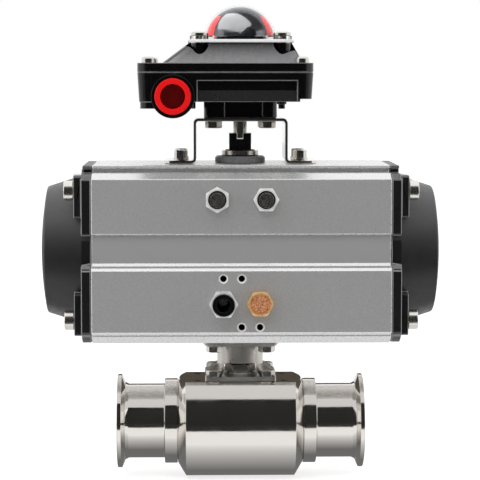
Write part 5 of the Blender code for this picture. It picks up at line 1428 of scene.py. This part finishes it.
def box_base():
    """The lower shell: a drafted tub with a cable boss, a mounting boss and its screws."""
    levels = [(BOX_BOTTOM, box_outline(BOX_DRAFT)), (SEAM_Z, box_outline(0))]
    base = lofted(levels, "Z", SATIN)
    low = BOX_BOTTOM - BASE_STEP
    inset = BOX_DRAFT + STEP_INSET
    half = BOX_HALF_Y - inset
    left_part = rectangle(BOX_LEFT + inset, LEFT_PART_RIGHT, -half, half, BOX_CORNER - inset)
    grow(base, left_part, low, BOX_BOTTOM + SINK)
    half_x = BOX_MOUNT_HALF_X
    half_y = BOX_MOUNT_HALF_Y
    mount = rectangle(-half_x, half_x, -half_y, half_y, BOX_MOUNT_CORNER)
    grow(base, mount, BOX_MOUNT_BOTTOM, BOX_BOTTOM + SINK)
    deep = BOX_FRONT + PANEL_DEPTH
    front = BOX_FRONT - PAST
    section = [
        (front, BOX_BOTTOM - PAST),
        (BOX_FRONT + PANEL_LIP, BOX_BOTTOM - PAST),
        (deep, BOX_BOTTOM + PANEL_SLOPE),
        (deep, BOX_BOTTOM + PANEL_HEIGHT),
        (front, BOX_BOTTOM + PANEL_HEIGHT),
    ]
    pierce(base, section, PANEL_LEFT, PANEL_RIGHT, "X")
    # Painted highlight: the panel's slope gets a lighter copy of the lacquer
    paint_where(base, LACQUER_SLOPE_HIGHLIGHT, lambda at, way: way.y < -PANEL_LEAN and way.z > PANEL_RISE)
    over = BOX_HALF_Y + PAST
    step = rectangle(PANEL_RIGHT + PANEL_LIP, BOX_RIGHT + PAST, -over, over)
    step_top = BOX_BOTTOM + RIGHT_STEP
    pierce(base, step, BOX_BOTTOM - PAST, step_top)
    recess = rectangle(RECESS_LEFT, RECESS_RIGHT, -half_y - PAST, -half_y + RECESS_DEPTH)
    pierce(base, recess, BOX_MOUNT_BOTTOM - PAST, BOX_BOTTOM)
    cavity = box_outline(BOX_WALL + PANEL_DEPTH, BOX_CORNER + PANEL_DEPTH)
    floor = BOX_BOTTOM + BOX_WALL
    pierce(base, cavity, floor, SEAM_Z + PAST)
    cable = circle(PLUG_THREAD_RADIUS + GAP, ROUND, CABLE_X, CABLE_Z)
    pierce(base, cable, front, BOX_FRONT + PLUG_LENGTH + PAST, "Y")
    shaft_hole = circle(SWITCH_SHAFT_RADIUS + GAP)
    pierce(base, shaft_hole, BOX_MOUNT_BOTTOM - PAST, floor + PAST)
    # The rounded edges get the painted edge highlight
    edged(base, BOX_EDGE, 2, LACQUER_EDGE_HIGHLIGHT)
    dress(base, "black_coating", "box_base")
    ring = circle(CABLE_BOSS_RADIUS, FINE, CABLE_X, CABLE_Z)
    deep = BOX_FRONT + CABLE_BOSS_DEPTH
    boss = prism(ring, CABLE_BOSS_FACE, deep, "Y", SATIN)
    pierce(boss, cable, front, deep + PAST, "Y")
    edged(boss, EDGE_WIDE, WIDE_STEPS)
    dress(boss, "black_coating", name="cable_boss")
    seat_z = BRACKET_TOP - PLATE - GAP
    for number, place in enumerate(corners(BOX_SCREW_X, BOX_SCREW_Y), 1):
        length = PLATE + 2 * GAP + SINK
        screw = hex_bolt(BOX_SCREW_RADIUS, M6_FLATS, BOX_SCREW_HEAD, length, BOLT)
        spin(screw, math.pi, "X")
        screw.location = (*place, seat_z)
        screw.rotation_euler = (0, 0, SIXTH + BOLT_TURN * (number - 2))
        dress(screw, "bolt_steel", name=f"box_bolt_{number}")
    radius = GROUND_PEG_RADIUS
    collar = BOX_BOTTOM - GROUND_PEG_LENGTH / 3
    profile = [
        (BOX_BOTTOM - GROUND_PEG_LENGTH, radius),
        (collar, radius),
        (collar, radius + SINK),
        (BOX_BOTTOM + SINK, radius + SINK),
    ]
    place = (GROUND_PEG_X, GROUND_PEG_Y)
    peg = turned(profile, "Z", SATIN, SMALL, centre=place)
    edged(peg, EDGE_SOFT)
    dress(peg, "black_coating", name="ground_peg")


def gaskets():
    """Thin black seals in the seams under the lid and under the box."""
    ring = prism(box_outline(GASKET_INSET), SEAM_Z, LID_BOTTOM, "Z", RUBBER)
    pierce(ring, box_outline(BOX_WALL), SEAM_Z - PAST, LID_BOTTOM + PAST)
    dress(ring, "black_rubber", name="lid_gasket")
    half_x = BOX_MOUNT_HALF_X - GASKET_INSET
    half_y = BOX_MOUNT_HALF_Y - RECESS_DEPTH - GASKET_INSET
    seat = rectangle(-half_x, half_x, -half_y, half_y, BOX_MOUNT_CORNER)
    pad = prism(seat, BRACKET_TOP, BOX_MOUNT_BOTTOM, "Z", RUBBER)
    hole = circle(SWITCH_SHAFT_RADIUS + GAP)
    pierce(pad, hole, BRACKET_TOP - PAST, BOX_MOUNT_BOTTOM + PAST)
    dress(pad, "black_rubber", name="mount_gasket")


def lid_screw_places():
    """The lid's four corner screws."""
    half = BOX_HALF_Y - LID_SCREW_INSET
    left = BOX_LEFT + LID_SCREW_INSET
    right = BOX_RIGHT - LID_SCREW_INSET
    return [(left, -half), (right, -half), (right, half), (left, half)]


def box_lid():
    """The upper shell: a flange and a low pyramid, with the pillars and screws of the dome."""
    lid = prism(box_outline(0), LID_BOTTOM, LID_SHELF, "Z", SATIN)
    half_y = LID_FOOT_HALF_Y
    foot = rectangle(LID_FOOT_LEFT, LID_FOOT_RIGHT, -half_y, half_y, DOME_CORNER)
    head = rectangle(-DOME_HALF, DOME_HALF, -DOME_HALF, DOME_HALF, DOME_CORNER)
    levels = [(LID_SHELF - SINK, foot), (LID_SHELF, foot), (LID_TOP, head)]
    join(lid, lofted(levels, "Z", SATIN))
    places = corners(DOME_SCREW, DOME_SCREW)
    pocket_low = LID_TOP - DOME_POCKET_DEPTH
    pocket = DOME_POCKET_RADIUS
    drill(lid, places, pocket, pocket_low, LID_TOP + PAST, sides=ROUND)
    inner = DOME_HALF - BOX_WALL
    left = LID_FOOT_LEFT + BOX_WALL
    right = LID_FOOT_RIGHT - BOX_WALL
    half = LID_FOOT_HALF_Y - BOX_WALL
    low = rectangle(left, right, -half, half, BOX_MOUNT_CORNER)
    high = rectangle(-inner, inner, -inner, inner, BOX_MOUNT_CORNER)
    ceiling = pocket_low - BOX_WALL
    levels = [(LID_BOTTOM - PAST, low), (LID_BOTTOM + BOX_WALL, low), (ceiling, high)]
    cut(lid, lofted(levels, "Z", SATIN))
    shaft_hole = circle(SWITCH_SHAFT_RADIUS + GAP)
    pierce(lid, shaft_hole, ceiling - PAST, LID_TOP + PAST)
    for place in places:
        pillar = circle(DOME_PILLAR_RADIUS, ROUND, *place)
        grow(lid, pillar, pocket_low - SINK, LID_TOP)
    flattest, steepest = PYRAMID_LEAN
    # Painted sheen on the lid's front and back slopes
    paint_where(lid, LID_PAINTED_SHEEN, lambda at, way: flattest < way.z < steepest and abs(way.y) > abs(way.x))
    # The rounded edges get the painted edge highlight
    edged(lid, BOX_EDGE, 2, LACQUER_EDGE_HIGHLIGHT)
    dress(lid, "black_coating", "box_lid")


def round_screw(radius, height, paint):
    """A round head whose top is a low crown, with a cross recess."""
    outline = [
        (0, 0, 0),
        (0, radius, 0),
        (height * SCREW_SIDE, radius, EDGE_SOFT),
        (height, radius * SCREW_TOP, 0),
        (height, 0, 0),
    ]
    head = spun(outline, "Z", paint)
    reach = radius * CROSS_REACH
    arm = radius * CROSS_ARM
    for ends in ((reach, arm), (arm, reach)):
        slot = rectangle(-ends[0], ends[0], -ends[1], ends[1])
        # The cross recess gets a painted shadow
        pierce(head, slot, height * CROSS_FLOOR, height + PAST, "Z", HOLE_SHADOW)
    return edged(head, EDGE_TINY)


def box_screws():
    """The dome's four screws on their pillars, and the lid's four corner screws."""
    seat = DOME_BOTTOM + DOME_FLANGE + GAP
    screw = round_screw(DOME_SCREW_RADIUS, DOME_SCREW_HEAD, BOLT)
    for number, place in enumerate(corners(DOME_SCREW, DOME_SCREW), 1):
        made = twin(screw, (*place, seat))
        dress(made, "bolt_steel", name=f"dome_screw_{number}")
        sleeve = circle(DOME_SLEEVE_RADIUS - GAP, ROUND, *place)
        sleeve = edged(prism(sleeve, LID_TOP - SINK, seat, "Z", BOLT), EDGE_SOFT)
        dress(sleeve, "bolt_steel", name=f"dome_screw_sleeve_{number}")
    bpy.data.objects.remove(screw)
    screw = round_screw(LID_SCREW_RADIUS, LID_SCREW_HEIGHT, BOLT)
    for number, place in enumerate(lid_screw_places(), 1):
        made = twin(screw, (*place, LID_SHELF))
        dress(made, "bolt_steel", name=f"lid_screw_{number}")
    bpy.data.objects.remove(screw)


def arc(radius, centre, start, steps=16):
    """Points (height, radius) from a start angle up to the top of a sphere."""
    points = []
    for step in range(steps):
        turn = start + (math.pi / 2 - start) * step / steps
        points.append((centre + radius * math.sin(turn), radius * math.cos(turn)))
    return [*points, (centre + radius, 0)]


def dome():
    """The clear dome and its square flange."""
    outer = arc(DOME_RADIUS, DOME_BOTTOM, DOME_FOOT_ANGLE)
    inner = arc(DOME_RADIUS - DOME_WALL, DOME_BOTTOM, 0.0)
    shell = turned(outer[::-1] + inner, "Z", CLEAR, FINE)
    plan = rectangle(-DOME_HALF, DOME_HALF, -DOME_HALF, DOME_HALF, DOME_CORNER)
    flange = prism(plan, DOME_BOTTOM, DOME_BOTTOM + DOME_FLANGE, "Z", CLEAR)
    hollow = circle(DOME_RADIUS - DOME_WALL / 2, FINE)
    top = DOME_BOTTOM + DOME_FLANGE + PAST
    pierce(flange, hollow, DOME_BOTTOM - PAST, top)
    join(shell, flange)
    places = corners(DOME_SCREW, DOME_SCREW)
    drill(shell, places, DOME_SLEEVE_RADIUS, DOME_BOTTOM - PAST, top, sides=ROUND)
    edged(shell, EDGE_SOFT)
    dress(shell, "clear_dome", "dome")
    # A white lip under the clear flange, a painted highlight for its bright lower edge
    half = DOME_HALF + DOME_LIP_OUT
    rim = rectangle(-half, half, -half, half, DOME_CORNER + DOME_LIP_OUT)
    levels = [
        (DOME_BOTTOM - GAP, rim),
        (DOME_BOTTOM + DOME_LIP - DOME_LIP_OUT + GAP, rim),
        (DOME_BOTTOM + DOME_LIP, scaled(plan, (DOME_HALF + GAP) / DOME_HALF)),
    ]
    lip = lofted(levels, "Z", LIP_HIGHLIGHT)
    inside = scaled(plan, (DOME_HALF + HAIR) / DOME_HALF)
    pierce(lip, inside, DOME_BOTTOM - PAST, top)
    edged(lip, EDGE_THIN)
    dress(lip, "clear_dome", name="dome_lip")


def indicator():
    """The rotor under the dome: red low on its sides, black over the rest."""
    centre = DOME_BOTTOM + 2 * GAP
    radius = DOME_RADIUS - DOME_WALL - INDICATOR_GAP
    profile = [(centre, 0), *arc(radius, centre, 0.0)]
    made = turned(profile, "Z", RED, FINE)
    red_top = centre + INDICATOR_RED_TOP

    def black(at, way):
        return at.z > red_top or abs(at.y) * INDICATOR_SHARE > abs(at.x)

    paint_where(made, BLACK_GLOSS, black)
    hub = circle(SWITCH_SHAFT_RADIUS + GAP)
    pierce(made, hub, centre - PAST, SHAFT_TOP + GAP)
    dress(made, "red_plastic", "indicator", body="drive_train")


def switch_shaft():
    """The shaft from the pinion's slot up to the indicator."""
    made = prism(circle(SWITCH_SHAFT_RADIUS), SHAFT_LOW, SHAFT_TOP, "Z", BOLT)
    half = DRIVE_SLOT / 2 - GAP
    blade = rectangle(-half, half, -DRIVE_BLADE_HALF, DRIVE_BLADE_HALF)
    low = SHAFT_LOW - DRIVE_SLOT_DEPTH + GAP
    grow(made, blade, low, SHAFT_LOW + SINK)
    edged(made, EDGE_THIN)
    dress(made, "bolt_steel", "switch_shaft", body="drive_train")


def cable_plug():
    """The red blanking plug in the cable entry, with its recess."""
    face = CABLE_BOSS_FACE - GAP
    inner = BOX_FRONT + PLUG_LENGTH
    outer = face - PLUG_FLANGE
    outline = [
        (inner, 0, 0),
        (inner, PLUG_THREAD_RADIUS, EDGE_PLAIN),
        (face, PLUG_THREAD_RADIUS, 0),
        (face, PLUG_RADIUS, EDGE_PLAIN),
        (outer, PLUG_RADIUS, HEAD_ROUND),
        (outer, PLUG_RECESS_RADIUS, EDGE_SOFT),
        (inner - PLUG_FLOOR, PLUG_RECESS_RADIUS - EDGE_WIDE, EDGE_SOFT),
        (inner - PLUG_FLOOR, 0, 0),
    ]
    plug = spun(outline, "Y", RED, FINE, centre=(CABLE_X, CABLE_Z))
    recess = PLUG_RECESS_RADIUS + 2 * HAIR

    def inside(at, way):
        reach = math.hypot(at.x - CABLE_X, at.z - CABLE_Z)
        return reach < recess and at.y > outer + SINK / 2

    # Painted shade: the recess's inner faces get a dark red
    paint_where(plug, RED_RECESS_SHADE, inside)
    dress(plug, "red_plastic", "cable_plug")


def repaint(paint, slot, *nodes):
    """Gives CAD nodes that are hidden or plain inside the valve their finish."""
    for name in nodes:
        node = frame["nodes"][name]
        node.data.materials.clear()
        node.data.materials.append(paint)


def copied(name, paint):
    """A new piece with the shape of a CAD node."""
    node = frame["nodes"][name]
    bm = bmesh.new()
    bm.from_mesh(node.data)
    bm.transform(node.matrix_world)
    return solid(bm, paint)


def carried_over():
    """Finishes for the CAD nodes that the scene keeps as they are."""
    repaint(STEEL, "polished_steel", "stem")
    repaint(WHITE, "seat_white", "stem_packing", "upper_bearing", "lower_bearing")
    repaint(BRIGHT, "bare_aluminium", "left_piston", "right_piston")
    repaint(RUBBER, "black_rubber", "left_piston_seal", "right_piston_seal")
    repaint(RED, "red_plastic", "switch_cam")
    repaint(SENSOR, "sensor_blue", "sensor_board")
    dress(edged(copied("pinion", OXIDE), EDGE_THIN), "black_pinion", "pinion", body="drive_train")


def springs():
    """The return springs, copied from their CAD nodes."""
    for side, outer_end in (("left", 0), ("right", 1)):
        name = f"{side}_spring"
        made = dress(copied(name, SPRING), "spring_steel", name)
        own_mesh(made)


# The studio
FLOOR_Z = -BODY_RADIUS - GAP
FLOOR_HALF = 6.0
CARD_Y = -1.60
CARD_HALF_X = 2.4
CARD_LOW = FLOOR_Z
CARD_HIGH = 2.20
CARD_NEAR_Y = -0.19
FADE_DARK = 0.17
FADE_LIGHT = 0.95
FADE_START = 0.018
FADE_END = 0.068
BACK_CARD_Y = 0.25
BACK_CARD_LOW = 0.036
BACK_CARD_HIGH = 0.130
BACK_CARD_HALF_X = 0.30
FILL_GLOW = 0.55
FLOOR_SEEN = 0.70
FLOOR_MIRRORED = 0.30
FLOOR_TONE = 0.80
SHELF_REACH = 0.060
SHELF_GLOW = 0.72
SOFTBOX = (-0.25, -0.25, 1.05)
SOFTBOX_SIZE = (1.60, 1.00)
SOFTBOX_GLOW = 6.0
ROOF_Z = 1.70
ROOF_BACK_Y = 0.50
LAMP_AIM = (0.0, 0.0, 0.1)
# Each lamp's place, size and power
LAMPS = {
    "key": ((-0.5, -1.2, 1.6), (1.6, 1.0), 9.0),
    "left": ((-1.6, -0.5, 0.5), (0.8, 1.4), 4.0),
    "right": ((1.6, -0.5, 0.5), (0.8, 1.4), 4.0),
}
LENS = 143.4
SENSOR_WIDTH = 36.0
EYE = (-0.027, -1.300, 0.2399)
TARGET = (0.0, 0.0, 0.1244)


def seen_ray(tree):
    """1 on camera, glossy and transmission rays, else 0."""
    rays = node(tree, "LightPath").outputs
    most = worked(tree, "MAXIMUM", rays["Is Camera Ray"], rays["Is Glossy Ray"])
    return worked(tree, "MAXIMUM", most, rays["Is Transmission Ray"])


def aimed(made, place, target):
    """Puts a thing at a place, facing a target."""
    made.location = place
    way = Vector(target) - Vector(place)
    made.rotation_euler = way.to_track_quat("-Z", "Y").to_euler()
    return made


def world():
    """A white surround for the eye and for reflections, and a plain soft fill for the rest."""
    made = bpy.data.worlds.new("studio")
    bpy.context.scene.world = made
    made.use_nodes = True
    tree = made.node_tree
    background = tree.nodes["Background"]
    background.inputs["Color"].default_value = (1, 1, 1, 1)
    strength = spread(tree, seen_ray(tree), FILL_GLOW, 1.0, 0.0, 1.0)
    tree.links.new(strength, background.inputs["Strength"])


def glowing(name, colour, strength, roughness=1.0):
    """A paint with no gloss that glows white, at one strength or at a linked one."""
    dull = {"Specular_IOR_Level": 0.0, "Emission_Color": (1, 1, 1, 1)}
    paint = finish(name, colour, roughness, **dull)
    if isinstance(strength, float):
        paint.node_tree.nodes["Principled BSDF"].inputs["Emission Strength"].default_value = strength
        return paint
    return drive(paint, "Emission Strength", strength(paint.node_tree))


def floor_glow(tree):
    """White for the eye, less for mirrors, and none for the rest."""
    rays = node(tree, "LightPath").outputs
    direct = spread(tree, rays["Is Camera Ray"], 0.0, FLOOR_SEEN, 0.0, 1.0)
    mirrored = spread(tree, rays["Is Glossy Ray"], 0.0, FLOOR_MIRRORED, 0.0, 1.0)
    return worked(tree, "ADD", direct, mirrored)


def floor():
    """A pale floor that keeps the valve's shadow."""
    half = FLOOR_HALF
    paint = glowing("pale floor", grey(FLOOR_TONE), floor_glow, 0.9)
    made = prism(rectangle(-half, half, -half, half), FLOOR_Z - PAST, FLOOR_Z, "Z", paint)
    made.name = "floor"


def ground_glow(tree):
    """A glow that fades towards the valve's shadow, which its underside mirrors."""
    reach = worked(tree, "ABSOLUTE", own_axis(tree, "Y"))
    return spread(tree, reach, FADE_DARK, FADE_LIGHT, FADE_START, FADE_END)


def offstage(card, name, glossy=True, clear=True):
    """A card that only mirrors or clear plastic show."""
    card.name = name
    card.visible_camera = False
    card.visible_diffuse = False
    card.visible_shadow = False
    card.visible_glossy = glossy
    card.visible_transmission = clear


def dome_cards():
    """A softbox and the dark above it, which only show through the dome, mirrored by what is in it."""
    dark = finish("dark roof", (0.02, 0.02, 0.02), 1.0)
    half = CARD_HALF_X
    over = rectangle(-half, half, CARD_Y, ROOF_BACK_Y)
    roof = prism(over, ROOF_Z, ROOF_Z + PAST, "Z", dark)
    wide, tall = SOFTBOX_SIZE
    plan = rectangle(-wide / 2, wide / 2, -tall / 2, tall / 2)
    glow = glowing("softbox", grey(0.0), SOFTBOX_GLOW)
    box = prism(plan, 0, PAST, "Z", glow)
    aimed(box, SOFTBOX, (0, 0, LID_TOP))
    offstage(roof, "dark_roof", glossy=False)
    offstage(box, "softbox", glossy=False)


def dark_cards():
    """Dark cards behind the camera and in front of the valve, which the polished steel mirrors as its
    dark band."""
    paint = finish("dark card", (0.035, 0.035, 0.034), 1.0, Specular_IOR_Level=0.0)
    half = CARD_HALF_X
    wall = rectangle(-half, half, CARD_LOW, CARD_HIGH)
    ground = rectangle(-half, half, CARD_Y, CARD_NEAR_Y)
    wide = BACK_CARD_HALF_X
    back = rectangle(-wide, wide, BACK_CARD_LOW, BACK_CARD_HIGH)
    shelf = rectangle(-wide, wide, -SHELF_REACH, -TOP_PLATE_HALF - SINK)
    near = rectangle(-half, half, CARD_NEAR_Y, -CARD_NEAR_Y)
    brown = finish("grey card", (0.12, 0.10, 0.08), 1.0, Specular_IOR_Level=0.0)
    fading = glowing("fading ground", grey(0.0), ground_glow)
    pale = glowing("pale card", grey(0.0), SHELF_GLOW)
    shelf_low = TOP_PLATE_TOP - GAP
    dark = prism(wall, CARD_Y - PAST, CARD_Y, "Y", paint)
    offstage(dark, "dark_wall")
    offstage(prism(ground, FLOOR_Z + SINK, FLOOR_Z + PAST, "Z", paint), "dark_ground")
    behind = prism(back, BACK_CARD_Y, BACK_CARD_Y + PAST, "Y", brown)
    offstage(behind, "back_wall", clear=False)
    offstage(prism(near, FLOOR_Z, FLOOR_Z + HAIR, "Z", fading), "fading_ground", clear=False)
    offstage(prism(shelf, shelf_low, TOP_PLATE_TOP, "Z", pale), "pale_shelf", clear=False)


def lamps():
    """Soft lamps: a wide key from above and in front, and a low fill from each side."""
    for name, (place, size, power) in LAMPS.items():
        light = bpy.data.lights.new(name, "AREA")
        light.shape = "RECTANGLE"
        light.size, light.size_y = size
        light.energy = power
        made = bpy.data.objects.new(name, light)
        aimed(made, place, LAMP_AIM)
        made.visible_glossy = False
        bpy.context.scene.collection.objects.link(made)


def camera():
    """The photograph's view."""
    data = bpy.data.cameras.new("camera")
    data.lens = LENS
    data.sensor_width = SENSOR_WIDTH
    made = bpy.data.objects.new("camera", data)
    aimed(made, EYE, TARGET)
    bpy.context.scene.collection.objects.link(made)
    bpy.context.scene.camera = made
    bpy.context.scene.view_settings.view_transform = "Standard"


# Every piece, then the studio
for make in (
    valve_body, connectors, ball, seats, gland_nut, valve_bracket, valve_bolts, actuator_body,
    end_caps, end_cap_screws, pinion_rings, travel_stops, air_fitting, silencer, switch_bracket,
    foot_bolts, box_base, gaskets, box_lid, box_screws, dome, indicator, switch_shaft, cable_plug,
    carried_over, springs, world, floor, dark_cards, dome_cards, lamps, camera,
):
    make()
